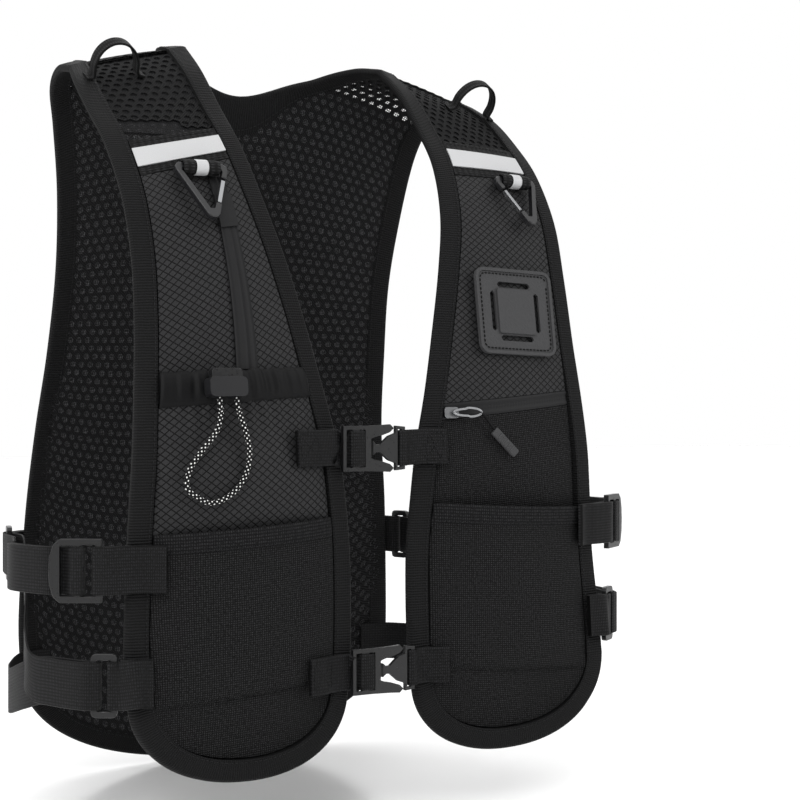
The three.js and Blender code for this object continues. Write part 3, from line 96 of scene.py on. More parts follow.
# %% Floor and lamps
FLOOR_Z = -0.432  # just below the hem of the back
world = bpy.data.worlds.new("studio")
world.use_nodes = True
scene.world = world
AHEAD = (math.sin(math.radians(CAMERA_TURN)), math.cos(math.radians(CAMERA_TURN)), 0)
studio = world.node_tree
way = add_node(studio, "TexCoord").outputs["Generated"]
facing = add_node(studio, "VectorMath", way, AHEAD, operation="DOT_PRODUCT").outputs["Value"]
backdrop = add_node(studio, "MapRange", facing, 0.5, 0.85, 0.1, 1.0)
height = add_node(studio, "SeparateXYZ", way).outputs["Z"]
ceiling = add_node(studio, "MapRange", height, 0.35, 0.8, 0.1, 1.5)
brightest = add_node(studio, "Math", backdrop, ceiling, operation="MAXIMUM")
studio.links.new(brightest.outputs[0], studio.nodes["Background"].inputs["Strength"])
studio.nodes["Background"].inputs["Color"].default_value = linear("ffffff")
scene.view_settings.view_transform = "Standard"

LAMPS = [
    # name, place, target, size in metres, watts
    ("key", (-1.5, -1.6, 1.0), (0, 0, -0.2), 1.1, 26),
    ("fill", (1.4, -1.5, 0.5), (0, 0, -0.2), 1.2, 13),
    ("rim", (0.8, 1.6, 1.1), (0, 0, -0.1), 1.2, 10),
    ("left_edge", (-1.7, 0.5, 0.3), (0, 0, -0.2), 0.8, 12),
]
for name, place, target, size, watts in LAMPS:
    lamp_data = bpy.data.lights.new(name, "AREA")
    lamp_data.size = size
    lamp_data.energy = watts
    lamp = bpy.data.objects.new(name, lamp_data)
    lamp.location = place
    way = np.array(target, float) - np.array(place, float)
    flat_way = math.hypot(way[0], way[1])
    lamp.rotation_euler = (math.atan2(flat_way, -way[2]), 0, math.atan2(way[1], way[0]) - math.pi / 2)
    scene.collection.objects.link(lamp)

floor_mesh = bpy.data.meshes.new("floor")
reach = 6.0
floor_mesh.from_pydata(
    [(-reach, -reach, FLOOR_Z), (reach, -reach, FLOOR_Z), (reach, reach, FLOOR_Z), (-reach, reach, FLOOR_Z)],
    [],
    [(0, 1, 2, 3)],
)
floor = bpy.data.objects.new("floor", floor_mesh)
scene.collection.objects.link(floor)
floor_finish = bpy.data.materials.new("white acrylic floor")
floor_finish.use_nodes = True
floor_shader = floor_finish.node_tree.nodes["Principled BSDF"]
floor_shader.inputs["Base Color"].default_value = linear("fbfbfb")
floor_shader.inputs["Roughness"].default_value = 0.16
floor_mesh.materials.append(floor_finish)
print(len(LAMPS), "lamps and a floor at", FLOOR_Z)

# %% [markdown]
# ## The skin of the vest
# A panel of cloth is a curved surface that many layers share: lining, shell, pockets and tape. It
# could be sculpted once per layer, but then the layers would drift apart. Here one table of rows
# gives each panel's skin, the layers are heights over it, and every piece stays where the frame
# has it. Everything below works in millimetres and is turned to metres when a mesh is made.

# %% Sizes and rows
HALF_WIDTH = 150
FRONT_DEPTH = 105
FRONT_DROP = 353
FRONT_HEM = 48
BACK_DEPTH = 112
BACK_DROP = 362
BACK_HEM = 68
NECK_SHARE = 0.475
NECK_DEPTH = 0.3
BELLY = 6
GAP = 0.3
LINING = 2.0
CLOTH = 1.0
TAPE_WIDE = 12
TAPE_PROUD = 0.5
WEB = 1.4
SIDE_WEB = 25
CHEST_WEB = 20
CHEST_WEB_THICK = 1.2
INSET = TAPE_WIDE + 0.8  # edges of the cloth, inside the tape
POCKET_ROOM = 7
BOTTLE_ROOM = 6
SHELL_LOW = LINING + GAP
SHELL_HIGH = SHELL_LOW + CLOTH
BOTTLE_LOW = SHELL_HIGH + GAP
POCKET_LOW = BOTTLE_LOW + CLOTH + GAP

# Columns: inner and outer edge as shares of the half width, depth and drop, and the crown
FRONT_ROWS = np.array([
    # inX, outX, inY, outY, inZ, outZ, belly
    [0.147, 1.04, 1.02, 1.07, -1.0, -0.985, 0.1],
    [0.133, 1.04, 1.01, 1.03, -0.94, -0.925, 0.4],
    [0.133, 1.02, 1.0, 0.99, -0.802, -0.807, 0.8],
    [0.153, 1.007, 1.0, 0.99, -0.711, -0.708, 1.0],
    [0.18, 0.995, 0.995, 0.99, -0.629, -0.629, 1.0],
    [0.233, 0.98, 0.975, 0.965, -0.533, -0.533, 0.9],
    [0.287, 0.965, 0.935, 0.925, -0.433, -0.44, 0.8],
    [0.347, 0.957, 0.87, 0.865, -0.33, -0.34, 0.7],
    [0.4, 0.963, 0.775, 0.765, -0.24, -0.244, 0.7],
    [0.435, 0.972, 0.62, 0.58, -0.15, -0.158, 0.6],
    [0.45, 0.978, 0.42, 0.38, -0.08, -0.1, 0.4],
    [0.453, 0.97, 0.21, 0.18, -0.012, -0.05, 0.2],
    [0.447, 0.94, 0.0, 0.0, 0.037, -0.017, 0.0],
])
BACK_ROWS = np.array([
    # wide, sideY, midY, sideZ, midZ
    [0.887, 0.84, 1.0, -1.0, -1.0],
    [0.893, 0.848, 1.018, -0.898, -0.898],
    [0.873, 0.82, 1.0, -0.732, -0.732],
    [0.84, 0.786, 0.955, -0.588, -0.588],
    [0.813, 0.7, 0.865, -0.456, -0.45],
    [0.8, 0.62, 0.765, -0.32, -0.29],
    [0.82, 0.53, 0.66, -0.193, -0.137],
    [0.86, 0.455, 0.55, -0.085, 0.004],
    [0.9, 0.37, 0.42, -0.03, 0.045],
    [0.927, 0.2, 0.23, -0.008, 0.06],
    [0.94, 0.0, 0.0, -0.017, 0.052],
])


def row_at(table, at):
    """Catmull-Rom through the rows of a table; at runs from 0 to 1."""
    place = np.clip(np.asarray(at, float), 0, 1) * (len(table) - 1)
    k = np.minimum(np.floor(place).astype(int), len(table) - 2)
    f = (place - k)[..., None]
    full = np.vstack([2 * table[0] - table[1], table, 2 * table[-1] - table[-2]])
    a, b, c, d = (full[k + i] for i in range(4))
    slope = (c - a) / 2
    following = (d - b) / 2
    bend = 3 * (c - b) - 2 * slope - following
    twist = 2 * (b - c) + slope + following
    return b + f * (slope + f * (bend + f * twist))


def smooth(x, low, high):
    f = np.clip((np.asarray(x, float) - low) / (high - low), 0, 1)
    return f * f * (3 - 2 * f)


def mix(a, b, f):
    return a + (b - a) * f


def unit(v):
    return v / np.linalg.norm(v, axis=-1, keepdims=True)


def crown(s):
    return np.sqrt(np.maximum(4 * s * (1 - s), 0))


# %% Front skin
def front_skin(side, s, t, inset=0.0):
    """Points of a front panel. s runs from the inner edge to the armhole, t from hem to shoulder."""
    s, t = np.broadcast_arrays(np.asarray(s, float), np.asarray(t, float))
    row = row_at(FRONT_ROWS, t)
    scale = np.array([HALF_WIDTH, -FRONT_DEPTH, FRONT_DROP])
    inner = row[..., [0, 2, 4]] * scale
    across = row[..., [1, 3, 5]] * scale - inner
    width = np.linalg.norm(across, axis=-1)
    share = (inset + s * (width - 2 * inset)) / width
    point = inner + across * share[..., None]
    point[..., 1] -= row[..., 6] * BELLY * 4 * share * (1 - share)
    roundness = (1 - np.abs(2 * np.clip(s, 0, 1) - 1) ** 2.2) ** (1 / 2.2)
    point[..., 2] -= (FRONT_HEM - inset) * (1 - smooth(t, 0, 0.22)) * roundness
    point[..., 0] *= side
    return point


def front_normal(side, s, t):
    middle = np.clip(s, 0.08, 0.92)
    across = front_skin(side, middle + 0.04, t) - front_skin(side, middle - 0.04, t)
    up = front_skin(side, middle, np.minimum(t + 0.01, 1)) - front_skin(side, middle, np.maximum(t - 0.01, 0))
    return unit(np.cross(across, up)) * side


def front_level(side, s, share, inset=0.0):
    """The row at which the skin is that share of the drop below the shoulder."""
    s, share = np.broadcast_arrays(np.asarray(s, float), np.asarray(share, float))
    low = np.zeros(s.shape)
    high = np.ones(s.shape)
    for _ in range(24):
        middle = (low + high) / 2
        below = front_skin(side, s, middle, inset)[..., 2] < -share * FRONT_DROP
        low = np.where(below, middle, low)
        high = np.where(below, high, middle)
    return low


# %% Back skin
def back_skin(u, t, inset=0.0):
    """Points of the back panel. u runs from -1 at one armhole to 1 at the other."""
    u, t = np.broadcast_arrays(np.asarray(u, float), np.asarray(t, float))
    row = row_at(BACK_ROWS, t)
    half = row[..., 0] * HALF_WIDTH
    x = u * (half - inset)
    bend = (x / half) ** 2
    y = mix(row[..., 2], row[..., 1], bend) * BACK_DEPTH
    z = mix(row[..., 4], row[..., 3], bend) * BACK_DROP
    hang = (BACK_HEM - inset) * (1 - smooth(t, 0, 0.45)) * np.sqrt(np.maximum(1 - u * u, 0))
    return np.stack([x, y, z - hang], -1)


def back_normal(u, t):
    middle = np.clip(u, -0.94, 0.94)
    across = back_skin(middle + 0.03, t) - back_skin(middle - 0.03, t)
    up = back_skin(middle, np.minimum(t + 0.01, 1)) - back_skin(middle, np.maximum(t - 0.01, 0))
    return unit(np.cross(up, across))


def back_level(u, share, inset=INSET):
    u, share = np.broadcast_arrays(np.asarray(u, float), np.asarray(share, float))
    low = np.zeros(u.shape)
    high = np.full(u.shape, 1 - NECK_DEPTH)
    for _ in range(24):
        middle = (low + high) / 2
        below = back_skin(u, middle, inset)[..., 2] < -share * BACK_DROP
        low = np.where(below, middle, low)
        high = np.where(below, high, middle)
    return low


RIDGE_HALF = BACK_ROWS[-1][0] * HALF_WIDTH


def neck_half(inset):
    return (NECK_SHARE * RIDGE_HALF + inset) / (RIDGE_HALF - inset)


def neck_rows(inset):
    return NECK_DEPTH + inset * NECK_DEPTH / (0.62 * BACK_DEPTH)


def back_top(u, inset):
    share = np.minimum(np.abs(u) / neck_half(inset), 1)
    return 1 - neck_rows(inset) * np.sqrt(1 - share * share)


probe = front_skin(-1, np.array([0.0, 1.0]), np.array([0.5, 0.5]))
print("right front panel at half height, mm:", probe.round(1).tolist())

# %% [markdown]
# ## Meshes with a weave
# Woven cloth needs its pattern at the real thread spacing, whatever the shape of the piece. Image
# coordinates would stretch it, so each mesh carries a vector named weave: millimetres across and
# along the cloth as it was cut. The materials draw threads, ribs and stitches from that vector.


# %% Mesh helpers
def make_mesh(name, points, faces, weave, angle=40):
    """A mesh object from points in millimetres, smooth except where it folds sharply."""
    mesh = bpy.data.meshes.new(name)
    mesh.from_pydata((np.asarray(points) / 1000).tolist(), [], [list(map(int, f)) for f in faces])
    mesh.update()
    values = mesh.attributes.new("weave", "FLOAT_VECTOR", "POINT")
    flat = np.zeros((len(points), 3))
    flat[:, : weave.shape[1]] = weave
    values.data.foreach_set("vector", flat.ravel())
    mesh.shade_smooth()
    mesh.set_sharp_from_angle(angle=math.radians(angle))
    piece = bpy.data.objects.new(name, mesh)
    scene.collection.objects.link(piece)
    return piece


def settle(piece, finish, slot, *nodes, body="vest"):
    """Gives a piece its finish, hides the frame's nodes that it stands for, and lets it ride on its body."""
    piece.data.materials.append(finish)
    if nodes:
        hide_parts(*nodes)
    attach(piece, body)
    return piece


def grid_faces(rows, cols, start=0, flip=False):
    index = start + np.arange(rows * cols).reshape(rows, cols)
    a, b, c, d = index[:-1, :-1], index[:-1, 1:], index[1:, 1:], index[1:, :-1]
    order = (a, d, c, b) if flip else (a, b, c, d)
    return np.stack(order, -1).reshape(-1, 4).tolist()


def columns_of(points, reference):
    """Millimetres along each column of a grid, counted from a reference row."""
    step = np.linalg.norm(np.diff(points, axis=0), axis=-1)
    run = np.concatenate([np.zeros((1, points.shape[1])), np.cumsum(step, axis=0)])
    return run - run[reference]


def cloth_mesh(name, skin, normal, low, high, reference=-1, side=1):
    """A closed layer of cloth between two heights over a grid of skin points."""
    rows, cols = skin.shape[:2]
    under = skin + normal * np.broadcast_to(low, (rows, cols))[..., None]
    over = skin + normal * np.broadcast_to(high, (rows, cols))[..., None]
    points = np.concatenate([under.reshape(-1, 3), over.reshape(-1, 3)])
    weave = np.stack([skin[..., 0] * side, columns_of(skin, reference)], -1).reshape(-1, 2)
    count = rows * cols
    faces = grid_faces(rows, cols, flip=side > 0) + grid_faces(rows, cols, count, flip=side < 0)
    index = np.arange(count).reshape(rows, cols)
    border = np.concatenate([index[0], index[1:, -1], index[-1, -2::-1], index[-2:0:-1, 0]])
    following = np.roll(border, -1)
    rim = np.stack([border, following, following + count, border + count], -1)
    faces += (rim if side < 0 else rim[:, ::-1]).tolist()
    return make_mesh(name, points, faces, np.concatenate([weave, weave]))


def ripple(a, b, size, seed=0.0):
    """Soft uneven waves, about 30 to 60 mm long, that keep cloth from looking like a sheet of card."""
    first = np.sin(a / 13.0 + 1.7 * seed + 0.9 * np.sin(b / 17.0 + seed))
    second = np.sin(b / 11.0 - 2.3 * seed + 0.8 * np.sin(a / 19.0 - seed))
    return size * (0.6 * first * second + 0.4 * np.sin((a + b) / 15.0 + 3.1 * seed))


CLOTH_STEP = 2.6  # millimetres between the points of a cloth


def front_grid(side, top, bottom, start=0.0, end=1.0, inset=INSET, step=CLOTH_STEP):
    """Skin points, normals, s and v of a front piece between two levels; None means an edge."""
    cols = int(128 * (end - start) / step) + 2
    s = mix(start, end, np.linspace(0, 1, cols))
    if bottom is None:
        s = mix(start, end, (1 - np.cos(np.pi * np.linspace(0, 1, cols))) / 2)
    low = np.zeros(cols) if bottom is None else front_level(side, s, bottom(s), inset)
    high = np.ones(cols) if top is None else front_level(side, s, top(s), inset)
    middle = cols // 2
    ends = front_skin(side, s[middle], np.linspace(low[middle], high[middle], 40), inset)
    tall = np.linalg.norm(np.diff(ends, axis=0), axis=-1).sum()
    rows = max(int(tall / step) + 2, 3)
    v = np.linspace(0, 1, rows)
    t = mix(low[None, :], high[None, :], v[:, None])
    grid_s = np.broadcast_to(s, t.shape)
    return front_skin(side, grid_s, t, inset), front_normal(side, grid_s, t), grid_s, v[:, None]


print("a cloth point every", CLOTH_STEP, "mm")

# %% [markdown]
# ## Finishes of cloth
# Black cloth is never one black. What tells the cloths of this vest apart is how each scatters
# light: puffed diamonds in the ripstop, fine knots in the oxford, ribs in the tape and webbing,
# glass beads in the reflective strips. Each finish below draws that relief from the weave vector
# as bump. Most also paint their colour after that relief: painted shade in the gaps between threads,
# and on the woven ones a painted highlight where the threads rise. One shared start keeps the settings in one place.


# %% Start of a finish
def start_finish(name, roughness, **sockets):
    """A material with a principled shader; returns it with its tree, shader and weave vector."""
    material = bpy.data.materials.new(name)
    material.use_nodes = True
    tree = material.node_tree
    shader = tree.nodes["Principled BSDF"]
    shader.inputs["Roughness"].default_value = roughness
    shader.inputs["Specular IOR Level"].default_value = 0.5 if roughness < 0.5 else 0.16
    for key, value in sockets.items():
        shader.inputs[key.replace("_", " ")].default_value = value
    weave = add_node(tree, "Attribute", attribute_name="weave").outputs["Vector"]
    return material, tree, shader, weave


WAVE = 0.31416  # a wave texture's scale for one band a millimetre

# %% Ripstop
# Diamond ripstop nylon: thick threads cross every 5 mm, and the thin cloth between them puffs up.
RIPSTOP_CELL = (5.2, 4.1)  # millimetres across and along a diamond
ripstop, tree, shader, weave = start_finish("diamond ripstop nylon", 0.55)
scaled = add_node(tree, "Mapping", weave, vector_type="POINT")
scaled.inputs["Scale"].default_value = (1 / RIPSTOP_CELL[0], 1 / RIPSTOP_CELL[1], 1)
turned = add_node(tree, "Mapping", scaled, vector_type="POINT")
turned.inputs["Rotation"].default_value = (0, 0, math.radians(45))
SQUARE = math.sqrt(0.5)
cells = add_node(
    tree, "TexBrick", turned, offset=0.0, squash=1.0,
    named={"Scale": 1.0, "Mortar Size": 0.08, "Mortar Smooth": 0.5, "Brick Width": SQUARE,
           "Row Height": SQUARE, "Bias": 0.0},
)
# The thread lines between the diamonds are painted near black: painted shade in the grooves that the puffed cloth
# leaves.
cells.inputs["Color1"].default_value = linear("2a2a2b")
cells.inputs["Color2"].default_value = linear("272728")
cells.inputs["Mortar"].default_value = linear("020202")
threads = add_node(tree, "TexWave", weave, WAVE / 0.5, 1.2, 2.0, bands_direction="DIAGONAL")
fine = add_node(tree, "Bump", named={"Strength": 0.18, "Distance": 0.0002, "Height": threads})
puff = add_node(tree, "Math", cells.outputs["Fac"], -1.0, operation="MULTIPLY")
relief = add_node(tree, "Bump", named={"Strength": 0.75, "Distance": 0.0006, "Height": puff, "Normal": fine})
tree.links.new(cells.outputs["Color"], shader.inputs["Base Color"])
tree.links.new(relief.outputs[0], shader.inputs["Normal"])


# %% Woven finishes
def woven(name, dark, light, pitch, strength, roughness, depth=0.0003):
    """A plain weave: two sets of threads that pass over and under each other."""
    material, tree, shader, weave = start_finish(name, roughness)
    across = add_node(tree, "TexWave", weave, WAVE / pitch[0], 0.6, 1.0, bands_direction="X")
    along = add_node(tree, "TexWave", weave, WAVE / pitch[1], 0.6, 1.0, bands_direction="Y")
    knots = add_node(tree, "Math", across.outputs["Fac"], along.outputs["Fac"], operation="MULTIPLY")
    uneven = add_node(tree, "TexNoise", weave, named={"Scale": 0.7, "Detail": 2.0})
    grain = add_node(tree, "MapRange", uneven.outputs["Fac"], 0.3, 0.7, 0.1, 1.9)
    # The colour follows the knots: a painted highlight where the threads cross over and painted shade in the gaps,
    # times a random tone from the grain.
    shade = add_node(tree, "Math", knots, grain, operation="MULTIPLY")
    colour = add_node(
        tree, "Mix", data_type="RGBA", named={"Factor": shade, "A": linear(dark), "B": linear(light)}
    )
    relief = add_node(tree, "Bump", named={"Strength": strength, "Distance": depth, "Height": knots})
    tree.links.new(next(s for s in colour.outputs if s.enabled), shader.inputs["Base Color"])
    tree.links.new(relief.outputs[0], shader.inputs["Normal"])
    return material


# The oxford's threads are 0.6 mm apart, drawn at 1.3 mm so that they show in the render.
oxford = woven("polyester oxford", "030303", "2e2e2f", (1.3, 1.2), 1.0, 0.8)
elastic_cloth = woven("knitted elastic", "060607", "2a2a2b", (1.3, 1.8), 0.9, 0.8)
webbing = woven("polypropylene webbing", "060606", "212123", (1.7, 1.2), 0.8, 0.6)
band_cloth = woven("black grosgrain band", "050505", "29292a", (4.0, 1.4), 0.9, 0.7)
stretch_cloth = woven("stretch mesh", "040404", "242425", (1.6, 1.6), 0.9, 0.8)

# %% Grosgrain
# Edge tape is ribbed across its width, with a stitched line 1.5 mm inside its sewn edge.
grosgrain, tree, shader, weave = start_finish("grosgrain edge tape", 0.7)
RIB = 1.5  # the real ribs are 1.1 mm apart
ribs = add_node(tree, "TexWave", weave, WAVE / RIB, 1.5, 2.0, bands_direction="Y")
yarns = add_node(tree, "TexWave", weave, WAVE / 1.4, 2.0, 1.0, bands_direction="X")
both = add_node(tree, "Math", yarns.outputs["Fac"], 0.35, ribs.outputs["Fac"], operation="MULTIPLY_ADD")
# The colour follows the ribs: painted shade in the valleys between them and a painted highlight on their crests.
colour = add_node(
    tree, "Mix", data_type="RGBA",
    named={"Factor": ribs.outputs["Fac"], "A": linear("020202"), "B": linear("141415")},
)
relief = add_node(tree, "Bump", named={"Strength": 0.8, "Distance": 0.0004, "Height": both})
tree.links.new(next(s for s in colour.outputs if s.enabled), shader.inputs["Base Color"])
tree.links.new(relief.outputs[0], shader.inputs["Normal"])

# %% Spacer mesh and net
# Spacer mesh is two knitted faces with yarn between them, matt and fuzzy, so it drinks the light.
air_mesh, tree, shader, weave = start_finish("knitted spacer mesh", 0.9)
knit = add_node(tree, "TexWave", weave, WAVE / 0.9, 3.0, 1.0, bands_direction="DIAGONAL")
# The colour follows the knit: painted shade between the yarns and a painted highlight on them.
colour = add_node(
    tree, "Mix", data_type="RGBA",
    named={"Factor": knit.outputs["Fac"], "A": linear("040404"), "B": linear("1f1f20")},
)
relief = add_node(tree, "Bump", named={"Strength": 0.7, "Distance": 0.0003, "Height": knit.outputs["Fac"]})
tree.links.new(next(s for s in colour.outputs if s.enabled), shader.inputs["Base Color"])
tree.links.new(relief.outputs[0], shader.inputs["Normal"])

# Painted light: the bottoms of the closed dimples are painted light grey, standing in for light falling on the black
# net inside the holes.
dimple_painted_light = woven("dimple bottoms painted light grey", "0c0c0c", "58585a", (1.0, 1.0), 0.4, 0.8)

# The net behind the holes is drawn by cutting most of a thin sheet away.
net, tree, shader, weave = start_finish("fine tulle net", 0.8)
shader.inputs["Base Color"].default_value = linear("1c1c1d")
NET_PITCH = 1.3  # the real net is finer than a pixel
wires = [
    add_node(tree, "TexWave", weave, WAVE / NET_PITCH, 0.0, bands_direction=way, wave_profile="TRI")
    for way in ("X", "Y")
]
widest = add_node(
    tree, "Math", wires[0].outputs["Fac"], wires[1].outputs["Fac"], operation="MAXIMUM"
)
solid = add_node(tree, "Math", widest, 0.62, operation="GREATER_THAN")
tree.links.new(solid.outputs[0], shader.inputs["Alpha"])

# %% Nylon, coated tape and reflective cloth
nylon, tree, shader, weave = start_finish("thin black nylon taffeta", 0.52)
threads = add_node(tree, "TexWave", weave, WAVE / 0.7, 2.0, 1.0, bands_direction="Y")
relief = add_node(tree, "Bump", named={"Strength": 0.3, "Distance": 0.0002, "Height": threads.outputs["Fac"]})
shader.inputs["Base Color"].default_value = linear("040405")
tree.links.new(relief.outputs[0], shader.inputs["Normal"])

coated, tree, shader, weave = start_finish("polyurethane coated zip tape", 0.5)
grain = add_node(tree, "TexNoise", weave, named={"Scale": 1.6, "Detail": 4.0})
relief = add_node(tree, "Bump", named={"Strength": 0.35, "Distance": 0.0002, "Height": grain.outputs["Fac"]})
shader.inputs["Base Color"].default_value = linear("1a1a1b")
tree.links.new(relief.outputs[0], shader.inputs["Normal"])

# Glass beads in the surface throw light back: pale grey, a little metallic, with a fine sparkle.
silver, tree, shader, weave = start_finish("glass bead reflective cloth", 0.45, Metallic=0.15)
beads = add_node(tree, "TexNoise", weave, named={"Scale": 2.2, "Detail": 4.0, "Roughness": 0.8})
colour = add_node(
    tree, "Mix", data_type="RGBA",
    named={"Factor": beads.outputs["Fac"], "A": linear("9fa0a1"), "B": linear("cfcfd0")},
)
relief = add_node(tree, "Bump", named={"Strength": 0.2, "Distance": 0.0002, "Height": beads.outputs["Fac"]})
tree.links.new(next(s for s in colour.outputs if s.enabled), shader.inputs["Base Color"])
tree.links.new(relief.outputs[0], shader.inputs["Normal"])

# %% Cord, thread, plastic, rubber and steel
# The cover is braided of black yarns, and white ones show as small dots where they come up.
braid, tree, shader, weave = start_finish("braided elastic cord", 0.75)
turned = add_node(tree, "Mapping", weave, vector_type="POINT")
turned.inputs["Rotation"].default_value = (0, 0, math.radians(38))
YARN = 2.0  # millimetres from one white dot to the next
yarns = [
    add_node(tree, "TexWave", turned, WAVE / YARN, 0.0, bands_direction=way).outputs["Fac"]
    for way in ("X", "Y")
]
crossings = add_node(tree, "Math", *yarns, operation="MULTIPLY")
dots = add_node(tree, "MapRange", crossings, 0.52, 0.68, 0.0, 1.0)
colour = add_node(
    tree, "Mix", data_type="RGBA", named={"Factor": dots, "A": linear("0e0e0f"), "B": linear("e2e2e0")}
)
relief = add_node(tree, "Bump", named={"Strength": 0.6, "Distance": 0.0003, "Height": crossings})
tree.links.new(next(s for s in colour.outputs if s.enabled), shader.inputs["Base Color"])
tree.links.new(relief.outputs[0], shader.inputs["Normal"])


def plain(name, colour, roughness, grain=None, depth=0.0001, **sockets):
    """A material of one colour whose moulded or drawn surface has a grain, given in millimetres."""
    material, tree, shader, _ = start_finish(name, roughness, **sockets)
    shader.inputs["Base Color"].default_value = linear(colour)
    if grain:
        place = add_node(tree, "TexCoord").outputs["Object"]
        noise = add_node(tree, "TexNoise", place, named={"Scale": 1000 / grain, "Detail": 3.0})
        rough = add_node(tree, "MapRange", noise.outputs["Fac"], 0.3, 0.7, roughness - 0.08, roughness + 0.1)
        relief = add_node(tree, "Bump", named={"Strength": 0.5, "Distance": depth, "Height": noise.outputs["Fac"]})
        tree.links.new(rough.outputs[0], shader.inputs["Roughness"])
        tree.links.new(relief.outputs[0], shader.inputs["Normal"])
    return material


acetal = plain("moulded black acetal", "121213", 0.34, 1.2, 0.00006)
acetal_light = plain("moulded dark grey acetal", "161618", 0.36)
rubber = plain("moulded grained rubber", "3e3e3f", 0.6, 1.4, 0.0006)
steel = plain("polished nickel-plated zinc", "97989a", 0.3, Metallic=1.0)
thread = plain("black polyester thread", "1d1d1e", 0.6)
dark_thread = plain("black bonded thread", "0c0c0c", 0.6)
green = plain("green reflective weave", "b6d66a", 0.5, 0.8)
print(len(bpy.data.materials), "materials")

# %% [markdown]
# ## Cords
# The back carries one elastic cord, laced through seven loops and drawn up by a lock. A second cord
# closes the bottle pocket and hangs from its own lock as a loop. A round cord could be a curve with
# a bevel, but its braid needs a weave vector, so each cord is a tube of rings with that vector.


# %% Tubes along points
def spline(points, step, sides=None):
    """Centripetal Catmull-Rom through points, at about equal steps; sides are blended along it."""
    points = np.asarray(points, float)
    full = np.vstack([2 * points[0] - points[1], points, 2 * points[-1] - points[-2]])
    places = []
    blends = []
    for k in range(len(points) - 1):
        p = full[k : k + 4]
        knots = np.concatenate([[0], np.cumsum(np.sqrt(np.linalg.norm(np.diff(p, axis=0), axis=1)) + 1e-9)])
        count = max(int(np.linalg.norm(p[2] - p[1]) / step), 1)
        at = np.linspace(knots[1], knots[2], count, endpoint=False)[:, None]
        first = [mix(p[i], p[i + 1], (at - knots[i]) / (knots[i + 1] - knots[i])) for i in range(3)]
        second = [mix(first[i], first[i + 1], (at - knots[i]) / (knots[i + 2] - knots[i])) for i in range(2)]
        places.append(mix(second[0], second[1], (at - knots[1]) / (knots[2] - knots[1])))
        blends.append(k + np.arange(count) / count)
    places.append(points[-1:])
    blends.append([len(points) - 1.0])
    path = np.concatenate(places)
    if sides is None:
        return path
    at = np.concatenate(blends)
    k = np.minimum(at.astype(int), len(points) - 2)
    return path, mix(np.asarray(sides)[k], np.asarray(sides)[k + 1], (at - k)[:, None])


def tube_mesh(name, path, size, sides=12):
    """A closed tube round a path, with the weave running round and along it."""
    along = unit(np.gradient(path, axis=0))
    across = np.zeros_like(path)
    last = np.array([0.3, 0.2, 1.0])
    for k, way in enumerate(along):
        last = last - way * last.dot(way)
        last = last / np.linalg.norm(last)
        across[k] = last
    up = np.cross(along, across)
    turn = 2 * np.pi * np.arange(sides) / sides
    rings = (
        path[:, None, :]
        + across[:, None, :] * np.cos(turn)[None, :, None] * size / 2
        + up[:, None, :] * np.sin(turn)[None, :, None] * size / 2
    )
    run = np.concatenate([[0], np.cumsum(np.linalg.norm(np.diff(path, axis=0), axis=1))])
    folded = np.abs(turn - np.pi) * size / 2
    weave = np.stack(np.broadcast_arrays(folded[None, :], run[:, None]), -1)
    count = len(path)
    faces = []
    for k in range(count - 1):
        here = k * sides
        for i in range(sides):
            j = (i + 1) % sides
            faces.append((here + i, here + j, here + sides + j, here + sides + i))
    faces.append(tuple(range(sides))[::-1])
    faces.append(tuple((count - 1) * sides + i for i in range(sides)))
    return make_mesh(name, rings.reshape(-1, 3), faces, weave.reshape(-1, 2), 60)


def length_of(path):
    return float(np.linalg.norm(np.diff(path, axis=0), axis=1).sum()) / 1000


def front_frame(side, s, share, lift):
    """Corner vectors and place of a local frame on a front panel: X, inward, up, origin."""
    t = front_level(side, s, share)
    normal = front_normal(side, s, t)
    origin = front_skin(side, s, t) + normal * lift
    across = (front_skin(side, s + 0.02, t) - front_skin(side, s - 0.02, t)) * side
    ex = unit(across - normal * across.dot(normal))
    return ex, -normal, np.cross(ex, -normal), origin


def back_frame(u, share, lift):
    t = back_level(u, share)
    normal = back_normal(u, t)
    origin = back_skin(u, t, INSET) + normal * lift
    up = np.array([0, 0, 1.0])
    ez = unit(up - normal * normal[2])
    return np.cross(-normal, ez), -normal, ez, origin


def in_frame(axes, points):
    ex, ey, ez, origin = axes
    points = np.asarray(points, float)
    return origin + points[..., :1] * ex + points[..., 1:2] * ey + points[..., 2:3] * ez


# %% The bottle pocket's cord
LOCK_TALL = 10.5
LOCK_DEEP = 8.5
LOCK_WIDE = 21.5
CORD = 2.8
chest_lock = front_frame(-1, 0.6, 0.535, 11)
BUNGEE_ROUTE = [  # s and share of the drop
    (0.628, 0.572), (0.655, 0.599), (0.695, 0.615), (0.73, 0.629), (0.78, 0.655), (0.787, 0.679),
    (0.735, 0.695), (0.69, 0.702), (0.625, 0.696), (0.56, 0.677), (0.522, 0.652), (0.51, 0.625),
    (0.52, 0.599), (0.54, 0.572),
]
BUNGEE_LIFT = 12.9
route_s, route_share = np.array(BUNGEE_ROUTE).T
route_t = front_level(-1, route_s, route_share)
hanging = front_skin(-1, route_s, route_t) + front_normal(-1, route_s, route_t) * BUNGEE_LIFT
out_of_lock = [in_frame(chest_lock, (-4, -LOCK_DEEP / 2, -LOCK_TALL / 2 - d)) for d in (GAP, 4)]
into_lock = [in_frame(chest_lock, (6, -LOCK_DEEP / 2, -LOCK_TALL / 2 - d)) for d in (4, GAP)]
bungee_path = spline([*out_of_lock, *hanging, *into_lock], 1.2)
bungee = settle(tube_mesh("pocket_cord", bungee_path, CORD), braid, "elastic_cord", "front_R_bungee")
print("pocket cord", round(length_of(bungee_path) * 1000), "mm")

